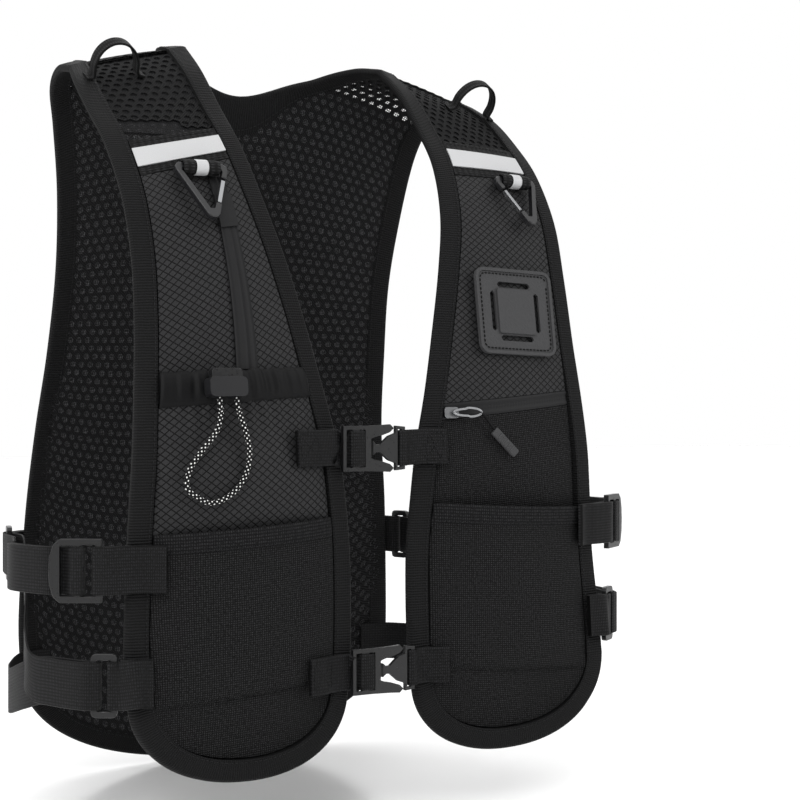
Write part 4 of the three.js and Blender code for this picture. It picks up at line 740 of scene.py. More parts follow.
# %% Lacing of the back
LACING = 2.4
LACING_LIFT = LACING / 2 + 0.9
OVER_LIFT = LACING + 1
STRETCH_FOOT = 1.06
STRETCH_HEAD = 0.585
STRETCH_ROOM = 7
LOOPS = [(0.93, 0.5), (0.89, 0.77), (0.9, 1.0)]  # u and share of the drop
BOTTOM_DROP = 1.125
TURN = 0.045
LOCK_DROP = 0.503
LOCK_BACK = 7


def stretch_edge(v):
    return mix(0.6, 0.76, v)


def stretch_swell(s, v):
    return STRETCH_ROOM * (1 - s * s) * smooth(v, 0, 0.4)


def face_below(u, drop):
    foot = back_level(u, STRETCH_FOOT)
    head = back_level(u, STRETCH_HEAD)
    v = (back_level(u, drop) - foot) / (head - foot)
    s = u / stretch_edge(np.clip(v, 0, 1))
    pocket = SHELL_HIGH + GAP + stretch_swell(s, v) + CLOTH + np.where(v > 0.9, 0.7, 0)
    return np.where((np.abs(s) < 1) & (v > 0) & (v < 1), pocket, SHELL_HIGH)


def over_back(u, drop, extra=0.0):
    near = [face_below(u + a * 0.04, drop + b * 0.016) for a in (-1, 0, 1) for b in (-1, 0, 1)]
    t = back_level(u, drop)
    return back_skin(u, t, INSET) + back_normal(u, t) * (np.max(near) + LACING_LIFT + extra)


def lacing_half(way, over):
    """One half of the lacing, from the lock through three loops to the middle of the hem."""
    points = []

    def straight(start, end, count, crossing):
        for f in np.linspace(0, 1, count + 1):
            u = mix(start[0], end[0], f) * way
            lift = OVER_LIFT * math.exp(-((u / 0.1) ** 2)) if crossing and over else 0
            points.append(over_back(u, mix(start[1], end[1], f), lift))

    def turn(place, mirror):
        for a in (-0.6, 0, 0.6):
            bow = math.cos(a * 1.3) - 1
            points.append(over_back((place[0] + bow * 0.4 * TURN) * way * mirror, place[1] + 0.03 * a))

    lock = back_frame(0, LOCK_DROP, LOCK_BACK + LOCK_DEEP / 2)
    points.append(in_frame(lock, (-(LOCK_WIDE / 2 + GAP) * way, 0, 0)))
    points.append(in_frame(lock, (-(LOCK_WIDE / 2 + 6) * way, 0, 0.6)))
    (u1, d1), (u2, d2), (u3, d3) = LOOPS
    straight((0.35, 0.478), (u1 - TURN, d1 - 0.026), 3, False)
    turn(LOOPS[0], 1)
    straight((u1 - TURN, d1 + 0.027), (TURN - u2, d2 - 0.027), 8, True)
    turn(LOOPS[1], -1)
    straight((TURN - u2, d2 + 0.027), (u3 - TURN, d3 - 0.027), 8, True)
    turn(LOOPS[2], 1)
    straight((u3 - TURN, d3 + 0.027), (0.16, BOTTOM_DROP - 0.012), 4, False)
    points.append(over_back(0.07 * way, BOTTOM_DROP))
    return points


lacing_points = [*lacing_half(1, False), over_back(0.0, BOTTOM_DROP), *lacing_half(-1, True)[::-1]]
lacing_path = spline(lacing_points, 2.0)
settle(tube_mesh("back_lace", lacing_path, LACING), braid, "elastic_cord", "back_lacing")
print("lacing", round(length_of(lacing_path) * 1000), "mm")

# %% Tails of the lacing
TAIL_DROPS = [0.57, 0.61, 0.67, 0.74, 0.83]
back_lock = back_frame(0, LOCK_DROP, LOCK_BACK)


def tail_path(way):
    middle = 0.15 + 0.016 * way
    start = [
        in_frame(back_lock, (-4 * way, -LOCK_DEEP / 2, -LOCK_TALL / 2 - d)) for d in (GAP, 3)
    ]
    start.append(in_frame(back_lock, (-7 - 3 * way, -LOCK_DEEP / 2 - 3, -LOCK_TALL / 2 - 9)))
    return spline([*start, *(over_back(middle, drop, OVER_LIFT) for drop in TAIL_DROPS)], 1.2)


def rounded_box(name, axes, size, radius, segments=3):
    """A block with rounded edges in a local frame, with its weave in millimetres."""
    half = np.array(size) / 2
    corners = np.array([[x, y, z] for x in (-1, 1) for y in (-1, 1) for z in (-1, 1)]) * half
    faces = [(0, 1, 3, 2), (4, 6, 7, 5), (0, 4, 5, 1), (2, 3, 7, 6), (0, 2, 6, 4), (1, 5, 7, 3)]
    piece = make_mesh(name, in_frame(axes, corners), faces, corners[:, [0, 2]])
    bevel = piece.modifiers.new("rounding", "BEVEL")
    bevel.width = radius / 1000
    bevel.segments = segments
    return piece


END_TALL = 14
end_at = over_back(0.15, TAIL_DROPS[-1], OVER_LIFT)
ex, ey, ez, _ = back_frame(0.15, TAIL_DROPS[-1], 0)
end_axes = (ex, ey, ez, end_at + ez * (3 - END_TALL / 2))
tail_end = settle(rounded_box("cord_end", end_axes, (8.5, 5, END_TALL), 1.6), acetal, "plastic")
for name, way in (("tail_right", -1), ("tail_left", 1)):
    path = tail_path(way)
    tail = settle(tube_mesh(name, path, LACING), braid, "elastic_cord", "back_cord_tails")
    # Both tails end in one fitting.
    print(name, round(length_of(path) * 1000), "mm")

# %% [markdown]
# ## Edge tape
# One grosgrain tape is folded over every raw edge. A solidify modifier on the panels would give a
# sharp band, so the tape is a ring of rounded sections instead, set along the edges, thick over the
# pocket layers and thin over the shoulders.


# %% Edge tape
def tape_face(t):
    return mix(POCKET_LOW + CLOTH, SHELL_HIGH, smooth(t, 0.3, 0.5)) + TAPE_PROUD


BACK_FACE = SHELL_HIGH + TAPE_PROUD
# Section of the tape: distance in from the edge, and height as a share of the face
TAPE_SECTION = [
    (12.0, 0.0), (11.0, -0.02), (6.0, -0.04), (1.6, -0.02), (0.5, 0.1), (0.0, 0.32), (0.0, 0.68),
    (0.5, 0.9), (1.6, 1.02), (6.0, 1.04), (11.0, 1.02), (12.0, 1.0),
]


def tape_rings(place, normal, face):
    """Rings of the tape's section; place gives the skin at an inset, for all stations."""
    rings = []
    for inset, share in TAPE_SECTION:
        height = mix(-TAPE_PROUD, face, share)
        rings.append(place(inset) + normal * np.broadcast_to(height, len(normal))[:, None])
    return np.stack(rings, 1)


def front_rings(side, s, t):
    s, t = np.broadcast_arrays(np.asarray(s, float), np.asarray(t, float))
    normal = front_normal(side, s, t)
    ridge = unit(normal + back_normal(np.where(s < 0.5, NECK_SHARE, 1.0) * side, np.ones(len(s))))
    blend = smooth(t, 0.96, 1.0)[:, None]
    normal = unit(mix(normal, ridge, blend))
    return tape_rings(lambda inset: front_skin(side, s, t, inset), normal, tape_face(t))


def back_rings(u, t):
    u, t = np.broadcast_arrays(np.asarray(u, float), np.asarray(t, float))
    normal = back_normal(u, t)
    ridge = unit(normal + front_normal(-1, np.ones(len(u)), np.ones(len(u))) * np.array([1, 1, 1]))
    return tape_rings(lambda inset: back_skin(u, t, inset), normal, BACK_FACE)


def neck_rings(turn):
    u = neck_half(0) * np.sin(turn)
    t = 1 - neck_rows(0) * np.cos(turn)

    def place(inset):
        return back_skin(neck_half(inset) * np.sin(turn), 1 - neck_rows(inset) * np.cos(turn), inset)

    return tape_rings(place, back_normal(u, t), BACK_FACE)


def ease(count):
    return (1 - np.cos(np.pi * np.arange(1, count) / count)) / 2


SIDE_COUNT = 170
HEM_COUNT = 70
up = np.linspace(0, 1, SIDE_COUNT)
hem = ease(HEM_COUNT)
back_hem = -np.cos(np.pi * np.arange(1, 110) / 110)
arch = np.pi * (0.5 - np.arange(1, 70) / 70)
ring_sets = [
    front_rings(-1, 0.0, up[::-1]), front_rings(-1, hem, 0.0), front_rings(-1, 1.0, up),
    back_rings(-1.0, up[::-1][1:]), back_rings(back_hem, 0.0), back_rings(1.0, up[:-1]),
    front_rings(1, 1.0, up[::-1]), front_rings(1, hem[::-1], 0.0), front_rings(1, 0.0, up),
    neck_rings(arch),
]
tape_points = np.concatenate(ring_sets)
tape_points = np.concatenate([tape_points, tape_points[:1]])
fold_line = tape_points[:, 5]
run = np.concatenate([[0], np.cumsum(np.linalg.norm(np.diff(fold_line, axis=0), axis=1))])
widths = np.array([-(p[0]) if k < 6 else p[0] for k, p in enumerate(TAPE_SECTION)])
tape_weave = np.stack(np.broadcast_arrays(widths[None, :], run[:, None]), -1).reshape(-1, 2)
section = len(TAPE_SECTION)
tape_faces = []
for k in range(len(tape_points) - 1):
    for i in range(section):
        j = (i + 1) % section
        a = k * section
        tape_faces.append((a + i, a + section + i, a + section + j, a + j))
tape = make_mesh("edge_tape", tape_points.reshape(-1, 3), tape_faces, tape_weave, 50)
settle(tape, grosgrain, "grosgrain", "edge_binding")
print("edge tape", round(run[-1]), "mm long")

# %% [markdown]
# ## Spacer mesh with its holes
# The lining is knitted with round holes in a hexagonal grid, 6.3 mm apart. Bump could fake them, but
# light has to pass through the holes on the shoulders, so each cell is real: a hexagon with a round
# hole, cut through on the shoulders and closed by a dish where the shell lies behind. The dishes are
# painted light grey, a painted light for the lit net inside the holes.

# %% Hexagonal cells
HEX_ACROSS = 6.3
HEX_ALONG = HEX_ACROSS * math.sqrt(3) / 2
HOLE = 2.05  # radius of a hole
CORNERS = 12


def hex_cells(name, place, across, along, inside, pierced, finish, node):
    """A sheet of hexagonal cells. place turns flat millimetres into skin points and normals."""
    radius = HEX_ACROSS / math.sqrt(3)
    rows = np.arange(int(along[0] / HEX_ALONG), int(along[1] / HEX_ALONG) + 1)
    cols = np.arange(int(across[0] / HEX_ACROSS) - 1, int(across[1] / HEX_ACROSS) + 2)
    j, i = np.meshgrid(rows, cols, indexing="ij")
    centre = np.stack([(i + 0.5 * (j % 2)) * HEX_ACROSS, j * HEX_ALONG], -1).reshape(-1, 2)
    centre = centre[inside(centre[:, 0], centre[:, 1])]
    turn = 2 * np.pi * np.arange(CORNERS) / CORNERS + np.pi / 6
    reach = np.where(np.arange(CORNERS) % 2 == 0, radius, radius * math.cos(np.pi / 6))
    rim = np.stack([np.cos(turn), np.sin(turn)], -1)
    outer = centre[:, None, :] + (rim * reach[:, None])[None]
    hole = centre[:, None, :] + (rim * HOLE)[None]
    key = np.round(outer.reshape(-1, 2), 2)
    _, first, shared = np.unique(key, axis=0, return_index=True, return_inverse=True)
    corners = outer.reshape(-1, 2)[first]
    shared = shared.reshape(len(centre), CORNERS)
    through = pierced(centre[:, 0], centre[:, 1])
    flats = [corners, hole.reshape(-1, 2), corners, hole.reshape(-1, 2), centre]
    heights = [0.0, 0.0, LINING, LINING, 1.5]
    points = []
    for flat, height in zip(flats, heights):
        skin, normal = place(flat[:, 0], flat[:, 1])
        points.append(skin + normal * height)
    starts = np.concatenate([[0], np.cumsum([len(p) for p in points])])
    index = np.arange(CORNERS)
    following = (index + 1) % CORNERS
    faces = []
    for c in range(len(centre)):
        rim_in = shared[c]
        hole_in = starts[1] + c * CORNERS + index
        quads = np.stack([rim_in, rim_in[following], hole_in[following], hole_in], -1)
        faces.extend(quads.tolist())
        if through[c]:
            rim_out = starts[2] + shared[c]
            hole_out = starts[3] + c * CORNERS + index
            faces.extend(np.stack([rim_out[following], rim_out, hole_out, hole_out[following]], -1).tolist())
            faces.extend(np.stack([hole_in, hole_in[following], hole_out[following], hole_out], -1).tolist())
        else:
            middle = np.full(CORNERS, starts[4] + c)
            faces.extend(np.stack([hole_in, hole_in[following], middle], -1).tolist())
    used = np.zeros(starts[-1], bool)
    for face in faces:
        used[face] = True
    renumber = np.cumsum(used) - 1
    faces = [[int(renumber[k]) for k in face] for face in faces]
    points = np.concatenate(points)[used]
    weave = np.concatenate(flats)[used]
    piece = settle(make_mesh(name, points, faces, weave, 35), finish, "air_mesh", node)
    # The dish bottoms get the light grey painted light.
    piece.data.materials.append(dimple_painted_light)
    dishes = np.array([len(face) == 3 for face in faces], np.int32)
    piece.data.polygons.foreach_set("material_index", dishes)
    print(name, len(centre), "holes,", int(through.sum()), "of them open")
    return piece


def run_of(points):
    return np.concatenate([[0], np.cumsum(np.linalg.norm(np.diff(points, axis=0), axis=1))])


# %% Back lining
rows_t = np.linspace(0, 1, 400)
back_run = run_of(back_skin(0.6, rows_t))
YOKE = 0.78
EDGE_COVER = 6  # how far the lining reaches in under the tape


def back_place(a, b):
    t = np.interp(b, back_run, rows_t)
    u = np.clip(a / (row_at(BACK_ROWS, t)[..., 0] * HALF_WIDTH), -1, 1)
    return back_skin(u, t), back_normal(u, t)


def back_inside(a, b):
    t = np.interp(b, back_run, rows_t)
    half = row_at(BACK_ROWS, t)[..., 0] * HALF_WIDTH
    u = np.clip(a / half, -1, 1)
    near_neck = t > 1 - neck_rows(EDGE_COVER) * np.sqrt(np.maximum(1 - (u / neck_half(EDGE_COVER)) ** 2, 0))
    under_neck = np.abs(u) < neck_half(EDGE_COVER)
    return (np.abs(a) < half - EDGE_COVER) & ~(near_neck & under_neck) & (b > 7) & (b < back_run[-1] - 2)


def back_pierced(a, b):
    return np.interp(b, back_run, rows_t) > YOKE


hex_cells(
    "back_lining", back_place, (-HALF_WIDTH, HALF_WIDTH), (0, back_run[-1]), back_inside, back_pierced,
    air_mesh, "back_mesh",
)

# %% Front linings
FRONT_YOKE = 0.115  # share of the drop above which the shoulder mesh goes on alone
front_run = run_of(front_skin(1, 0.5, rows_t))


def front_pieces(side):
    def where(a, b):
        t = np.interp(b, front_run, rows_t)
        row = row_at(FRONT_ROWS, t)
        inner = row[..., 0] * HALF_WIDTH
        outer = row[..., 1] * HALF_WIDTH
        return t, (a - inner) / (outer - inner), inner, outer

    def place(a, b):
        t, s, _, _ = where(a, b)
        s = np.clip(s, 0, 1)
        return front_skin(side, s, t), front_normal(side, s, t)

    def inside(a, b):
        t, s, inner, outer = where(a, b)
        return (a > inner + EDGE_COVER) & (a < outer - EDGE_COVER) & (b > 8) & (b < front_run[-1] - 2)

    def pierced(a, b):
        t, s, _, _ = where(a, b)
        height = front_skin(side, np.clip(s, 0, 1), t)[..., 2]
        return height > -FRONT_YOKE * FRONT_DROP

    return place, inside, pierced


for label, side in (("R", -1), ("L", 1)):
    place, inside, pierced = front_pieces(side)
    hex_cells(
        f"front_{label}_lining", place, (0, 1.1 * HALF_WIDTH), (0, front_run[-1]), inside, pierced,
        air_mesh, f"front_{label}_mesh",
    )

# %% Net over the shoulder holes
NET_HEIGHT = 1.0
for label, side in (("R", -1), ("L", 1)):
    skin, normal, _, _ = front_grid(side, None, lambda s: FRONT_YOKE + 0.02 + 0 * s, inset=8, step=5)
    sheet = cloth_mesh(f"front_{label}_net", skin, normal, NET_HEIGHT, NET_HEIGHT + 0.08, side=side)
    settle(sheet, net, "air_mesh")
NET_ROWS = 24
net_u = np.linspace(-0.95, 0.95, 70)
net_top = np.where(np.abs(net_u) < neck_half(8), back_top(net_u, 8), 1.0)
net_t = mix((net_top - 0.03).clip(0, YOKE - 0.02)[None, :], net_top[None, :], np.linspace(0, 1, NET_ROWS)[:, None])
net_grid = np.broadcast_to(net_u, net_t.shape)
sheet = cloth_mesh("back_net", back_skin(net_grid, net_t, 8), back_normal(net_grid, net_t), 1.0, 1.08, side=-1)
settle(sheet, net, "air_mesh")
print("nets behind the shoulder holes")

# %% [markdown]
# ## Layers of the front panels
# From the shoulder down each panel has a black band with a silver strip, a ripstop chest, a middle
# pocket and a lower pocket with an elastic mouth. Cloth simulation would find their sag by itself,
# but the pockets are shaped by what they are cut for, so each is a crowned layer with its room, and
# soft waves are added where thin cloth would buckle.


# %% Levels
def level(inner, outer):
    return lambda s: mix(inner, outer, s)


def shift(line, by):
    return lambda s: line(s) + by


MM = 1 / FRONT_DROP
LEVELS = {
    -1: {"band_top": level(0.122, 0.155), "band_foot": level(0.172, 0.212), "pocket": level(0.733, 0.75)},
    1: {"band_top": level(0.106, 0.112), "band_foot": level(0.168, 0.17), "pocket": level(0.718, 0.732)},
}
MOUTH_TOP = level(0.505, 0.515)
MOUTH_FOOT = level(0.545, 0.562)
ZIP_TOP = level(0.557, 0.535)
ZIP_FOOT = level(0.583, 0.558)
ELASTIC = 11


def between(top, foot, v):
    """The level a share v of the way up from foot to top."""
    return lambda s: mix(foot(s), top(s), v)


# %% Bands, strips and chest panels
for label, side in (("R", -1), ("L", 1)):
    top, foot = LEVELS[side]["band_top"], LEVELS[side]["band_foot"]
    skin, normal, s, v = front_grid(side, top, foot)
    roll = 0.35 * np.exp(-(((v - 0.02) / 0.06) ** 2)) + 0.35 * np.exp(-(((v - 0.98) / 0.06) ** 2))
    band = cloth_mesh(f"front_{label}_band", skin, normal, SHELL_LOW, SHELL_HIGH + roll, side=side)
    settle(band, band_cloth, "grosgrain", f"front_{label}_reflective_band")
    skin, normal, s, v = front_grid(side, between(top, foot, 0.75), between(top, foot, 0.24), step=2)
    strip = cloth_mesh(f"front_{label}_silver", skin, normal, SHELL_HIGH, SHELL_HIGH + 0.7, side=side)
    settle(strip, silver, "reflective")
    chest_foot = shift(MOUTH_FOOT, -2 * MM) if side < 0 else shift(ZIP_TOP, -GAP * MM)
    skin, normal, s, v = front_grid(side, shift(foot, GAP * MM), chest_foot)
    wave = ripple(skin[..., 0], skin[..., 2], 0.18, side)
    chest = cloth_mesh(f"front_{label}_chest", skin, normal, SHELL_LOW, SHELL_HIGH + wave, side=side)
    settle(chest, ripstop, "ripstop", f"front_{label}_chest_panel")
    print(label, "band, strip and chest panel")

# %% Lower pockets
# The bag of each pocket ends in a crease at the hem corners, and the tongue below lies lower.
CREASE = 1.0
CREASE_STEP = 2.6
for label, side in (("R", -1), ("L", 1)):
    pocket = LEVELS[side]["pocket"]
    skin, normal, s, v = front_grid(side, pocket, None, step=1.3)
    room = POCKET_ROOM * crown(s) * smooth(v, 0.02, 0.5)
    wave = ripple(skin[..., 0], skin[..., 2], 1.1, 2.0 + side) * crown(s) * np.sin(np.pi * v) ** 0.5
    above_crease = skin[..., 2] + mix(347, 356, s)
    sunk = CREASE_STEP * (1 - smooth(above_crease, -0.8, 0.8)) + CREASE * np.exp(-((above_crease / 2.2) ** 2))
    low = POCKET_LOW + room + wave * smooth(1 - v, 0, 0.2) - sunk * crown(s)
    cloth = cloth_mesh(f"front_{label}_pocket", skin, normal, low, low + CLOTH, side=side)
    settle(cloth, oxford, "oxford", f"front_{label}_lower_pocket")
    skin, normal, s, v = front_grid(side, shift(pocket, -0.4 * MM), shift(pocket, ELASTIC * MM), step=1.6)
    room = POCKET_ROOM * crown(s)
    pucker = 0.22 * np.sin(skin[..., 0] / 0.9) * np.sin(np.pi * v)
    rolled = 0.9 * np.sin(np.pi * v) ** 0.35
    high = POCKET_LOW + room + CLOTH + rolled + pucker
    hem_band = cloth_mesh(f"front_{label}_elastic", skin, normal, POCKET_LOW + room + 0.4, high, side=side)
    settle(hem_band, elastic_cloth, "grosgrain")
    print(label, "lower pocket")

# %% Bottle pocket with its gathered mouth
GATHERS = 8
skin, normal, s, v = front_grid(-1, MOUTH_FOOT, shift(LEVELS[-1]["pocket"], (ELASTIC + 6) * MM))
swell = crown(s) * mix(BOTTLE_ROOM * np.sin(np.pi * v), 2.5, smooth(v, 0.5, 1))
drawn = 0.9 * np.cos(2 * np.pi * 11 * s + 1.0) * crown(s) * smooth(v, 0.7, 1.0)
wave = ripple(skin[..., 0], skin[..., 2], 0.5, 0.6) * crown(s)
low = BOTTLE_LOW + swell + drawn + wave * np.sin(np.pi * v)
cloth = cloth_mesh("bottle_pocket", skin, normal, low, low + CLOTH, side=-1)
settle(cloth, ripstop, "ripstop", "front_R_mid_pocket")

skin, normal, s, v = front_grid(-1, shift(MOUTH_TOP, -1.5 * MM), shift(MOUTH_FOOT, 0.5 * MM), step=1.2)
fold = np.cos(2 * np.pi * GATHERS * s + 0.7 * np.sin(9 * s)) + 0.45 * np.cos(2 * np.pi * 19 * s + 2)
pull = 0.45 + 0.55 * np.exp(-(((s - 0.6) / 0.22) ** 2))
tube_up = np.sin(np.pi * np.clip(v, 0, 1)) ** 0.55
low = BOTTLE_LOW + 1.0 + 2.5 * crown(s)
high = low + 0.6 + (2.4 + 0.8 * fold * pull * crown(s)) * tube_up
skin[..., 2] += 1.0 * fold * pull * crown(s) * smooth(v, 0.4, 1)
mouth = cloth_mesh("gathered_mouth", skin, normal, low, high, side=-1)
settle(mouth, nylon, "nylon", "front_R_pocket_mouth")
print("bottle pocket with", GATHERS, "gathers")

# %% Zip strip above the bottle pocket
STRIP_NEAR = (0.37, 0.27)  # s of its inner edge at the foot and at the head
STRIP_FAR = (0.49, 0.385)
STRIP_BASE = SHELL_HIGH + GAP


def zip_strip(name, near, far, start, end, low, high, finish, *nodes):
    v = np.linspace(start, end, int(110 * (end - start)) + 3)[:, None]
    f = np.linspace(near, far, int(16 * (far - near)) + 3)[None, :]
    s = mix(mix(*STRIP_NEAR, v), mix(*STRIP_FAR, v), f)
    foot = front_level(-1, s, MOUTH_TOP(s) - 2 * MM)
    head = front_level(-1, s, LEVELS[-1]["band_foot"](s) + 8 * MM)
    t = mix(foot, head, v)
    heights = [h(f, v) if callable(h) else h for h in (low, high)]
    piece = cloth_mesh(name, front_skin(-1, s, t), front_normal(-1, s, t), *heights, side=-1)
    return settle(piece, finish, "coated", *nodes)


def strip_relief(f, v):
    edges = 0.35 * (np.exp(-(((f - 0.1) / 0.05) ** 2)) + np.exp(-(((f - 0.9) / 0.05) ** 2)))
    seam = 0.5 * np.exp(-(((f - 0.42) / 0.05) ** 2))
    return STRIP_BASE + CLOTH - edges * 0.8 - seam + 0 * v


zip_strip("zip_cover", 0, 1, 0, 1, STRIP_BASE, strip_relief, coated, "front_R_zip_strip")
zip_strip("zip_garage", -0.04, 1.04, 0.72, 0.9, STRIP_BASE + CLOTH * 0.8, STRIP_BASE + 2.3, coated)
print("zip strip with its garage")

# %% Zip pocket of the left panel
skin, normal, s, v = front_grid(1, ZIP_TOP, ZIP_FOOT, step=1.0)
coil = 0.5 * np.exp(-(((v - 0.5) / 0.1) ** 2)) * (1 + 0.5 * np.sin(skin[..., 0] / 0.32))
lips = 0.8 * (np.exp(-(((v - 0.14) / 0.16) ** 2)) + np.exp(-(((v - 0.86) / 0.16) ** 2)))
tape_piece = cloth_mesh("pocket_zip", skin, normal, SHELL_LOW, SHELL_HIGH - 0.4 + lips + coil, side=1)
settle(tape_piece, coated, "coated", "front_L_zip_tape")
skin, normal, s, v = front_grid(1, shift(ZIP_FOOT, GAP * MM), shift(LEVELS[1]["pocket"], (ELASTIC + 6) * MM))
wave = ripple(skin[..., 0], skin[..., 2], 0.5, 1.3) * crown(s)
swell = 3 * crown(s) * np.sin(np.pi * v) + wave * np.sin(np.pi * v)
cloth = cloth_mesh("zip_pocket", skin, normal, SHELL_LOW + swell, SHELL_HIGH + swell, side=1)
settle(cloth, oxford, "oxford", "front_L_mid_pocket")
print("zip pocket")

# %% [markdown]
# ## Layers of the back
# The back has a ripstop shell up to the yoke, a silver zip pocket across the shoulders, a stretch
# pocket below it and seven cord loops with green edges. They are made the same way, over the back's
# own skin.


# %% Shell of the back
def back_grid(left, right, foot, head, step=CLOTH_STEP, inset=INSET):
    """Skin, normals, u and v of a back piece; foot and head give rows t for each u."""
    cols = int((right - left) * 125 / step) + 2
    u = np.linspace(left, right, cols)
    low = foot(u)
    high = head(u)
    middle = back_skin(np.zeros(30), np.linspace(low[cols // 2], high[cols // 2], 30), inset)
    tall = np.linalg.norm(np.diff(middle, axis=0), axis=-1).sum()
    rows = max(int(tall / step) + 2, 3)
    v = np.linspace(0, 1, rows)[:, None]
    t = mix(low[None, :], high[None, :], v)
    grid = np.broadcast_to(u, t.shape)
    return back_skin(grid, t, inset), back_normal(grid, t), grid, v


def yoke_line(u):
    return np.minimum(YOKE, back_top(u, INSET) - 0.009)


skin, normal, u, v = back_grid(-1, 1, lambda u: 0 * u + 0.002, yoke_line)
wave = ripple(skin[..., 0], skin[..., 2], 0.3, 0.2)
shell = cloth_mesh("back_panel", skin, normal, SHELL_LOW, SHELL_HIGH + wave * (1 - u * u), 0, side=-1)
settle(shell, ripstop, "ripstop", "back_shell")


# %% Reflective pocket and stretch pocket
def zip_arch(u):
    return mix(0.15, 0.27, np.abs(u) ** 1.7)


ZIP_WIDE = 0.022
pocket_foot = lambda u: back_level(u, mix(0.36, 0.315, np.abs(u)))
pocket_head = lambda u: back_level(u, zip_arch(u))
skin, normal, u, v = back_grid(-0.93, 0.93, pocket_foot, pocket_head)
room = 4 * np.sin(np.pi * v) * (1 - u * u) + ripple(skin[..., 0], skin[..., 2], 0.4, 2.2) * (1 - u * u)
low = SHELL_HIGH + GAP + room
pocket = cloth_mesh("silver_pocket", skin, normal, low, low + CLOTH, 0, side=-1)
settle(pocket, silver, "reflective", "back_reflective_pocket")
skin, normal, u, v = back_grid(-0.93, 0.93, pocket_head, lambda u: back_level(u, zip_arch(u) - ZIP_WIDE), 1.2)
coil = 0.5 * np.exp(-(((v - 0.4) / 0.12) ** 2)) * (1 + 0.5 * np.sin(skin[..., 0] / 0.32))
low = SHELL_HIGH + GAP
zip_piece = cloth_mesh("back_zip", skin, normal, low, low + CLOTH + 0.3 * np.sin(np.pi * v) + coil, 0, side=-1)
settle(zip_piece, coated, "coated")

v_stops = np.linspace(0, 1, 70)[:, None]
s_stops = np.linspace(-1, 1, 76)[None, :]
stretch_u = s_stops * stretch_edge(v_stops)
stretch_t = mix(back_level(stretch_u, STRETCH_FOOT), back_level(stretch_u, STRETCH_HEAD), v_stops)
skin = back_skin(stretch_u, stretch_t, INSET)
normal = back_normal(stretch_u, stretch_t)
gather = 0.35 * np.cos(2 * np.pi * 15 * s_stops) * smooth(v_stops, 0.75, 0.95) * (1 - s_stops**2)
low = SHELL_HIGH + GAP + stretch_swell(s_stops, v_stops) + gather
high = low + CLOTH + 0.9 * smooth(v_stops, 0.9, 0.93) * smooth(1 - v_stops, 0, 0.02)
pocket = cloth_mesh("stretch_pocket", skin, normal, low, high, 0, side=-1)
settle(pocket, stretch_cloth, "air_mesh", "back_stretch_pocket")
print("back pockets")

# %% [markdown]
# ## Webbing
# Webbing is stiff across its width and bends only along its length, so a strip is a path with a
# side direction at each stop, the ladder locks and rings included. Each strip has rounded woven
# edges. Box stitches hold the sewn ends.


# %% Strips of webbing
def web_mesh(name, stops, width, thick, step=1.6):
    """A strip along stops of (point, side direction), smoothed between them."""
    points = np.array([p for p, _ in stops], float)
    sides = np.array([unit(np.asarray(q, float)) for _, q in stops])
    path, side = spline(points, step, sides)
    along = unit(np.gradient(path, axis=0))
    across = unit(side - along * (side * along).sum(-1, keepdims=True))
    up = np.cross(along, across)
    half = width / 2
    bars = np.linspace(-1, 1, 7)
    over = [(b * (half - 0.5), thick / 2) for b in bars]
    section = [*over, (half, 0.0), *[(x, -y) for x, y in over[::-1]], (-half, 0.0)]
    section = np.array(section)
    count = len(section)
    rings = (
        path[:, None, :]
        + across[:, None, :] * section[None, :, :1]
        + up[:, None, :] * section[None, :, 1:]
    )
    run = run_of(path)
    weave = np.stack(np.broadcast_arrays(section[None, :, 0], run[:, None]), -1)
    faces = []
    for k in range(len(path) - 1):
        for i in range(count):
            j = (i + 1) % count
            a = k * count
            faces.append((a + i, a + j, a + count + j, a + count + i))
    faces.append(tuple(range(count))[::-1])
    faces.append(tuple((len(path) - 1) * count + i for i in range(count)))
    return make_mesh(name, rings.reshape(-1, 3), faces, weave.reshape(-1, 2), 50)


UPRIGHT = (0, 0, 1)


def level_stops(points, z):
    return [((x, y, z), UPRIGHT) for x, y in points]


def sewn_stop(skin, normal, t, lift):
    slope = unit(skin(min(t + 0.02, 1)) - skin(max(t - 0.02, 0)))
    return skin(t) + normal * lift, slope


# %% Side straps
LADDER_HALF = 1.6
TURN_LIFT = LADDER_HALF + GAP + WEB / 2
SLOPE_ROOM = 0.75
CORNER_ROOM = 3
RING_BAR = 5.2
SEWN_SWELL = 5.2


def plan(x, y, ex, ey, nx, ny):
    return lambda a, w: (x + a * ex + w * nx, y + a * ey + w * ny)


lock_plan = plan(177.2, -100, 0.84, 0.543, 0.543, -0.84)
lower_plan = plan(166, -108.5, 0.84, 0.543, 0.543, -0.84)
ring_plan = plan(143.2, 91.2, 0.29, -0.957, 0.957, 0.29)


def turn_round(at, bar, way=1, half=LADDER_HALF):
    reach = half + GAP + WEB / 2
    bevel = half + 0.4
    side = TURN_LIFT - LADDER_HALF + bevel - 0.6
    return [
        at(bar, TURN_LIFT), at(bar + way * bevel, TURN_LIFT), at(bar + way * reach, side),
        at(bar + way * reach, -side), at(bar + way * bevel, -TURN_LIFT), at(bar, -TURN_LIFT),
    ]


def mirrored(stops, side):
    flip = np.array([side, 1, 1])
    return [(np.asarray(p) * flip, np.asarray(q) * flip) for p, q in stops]


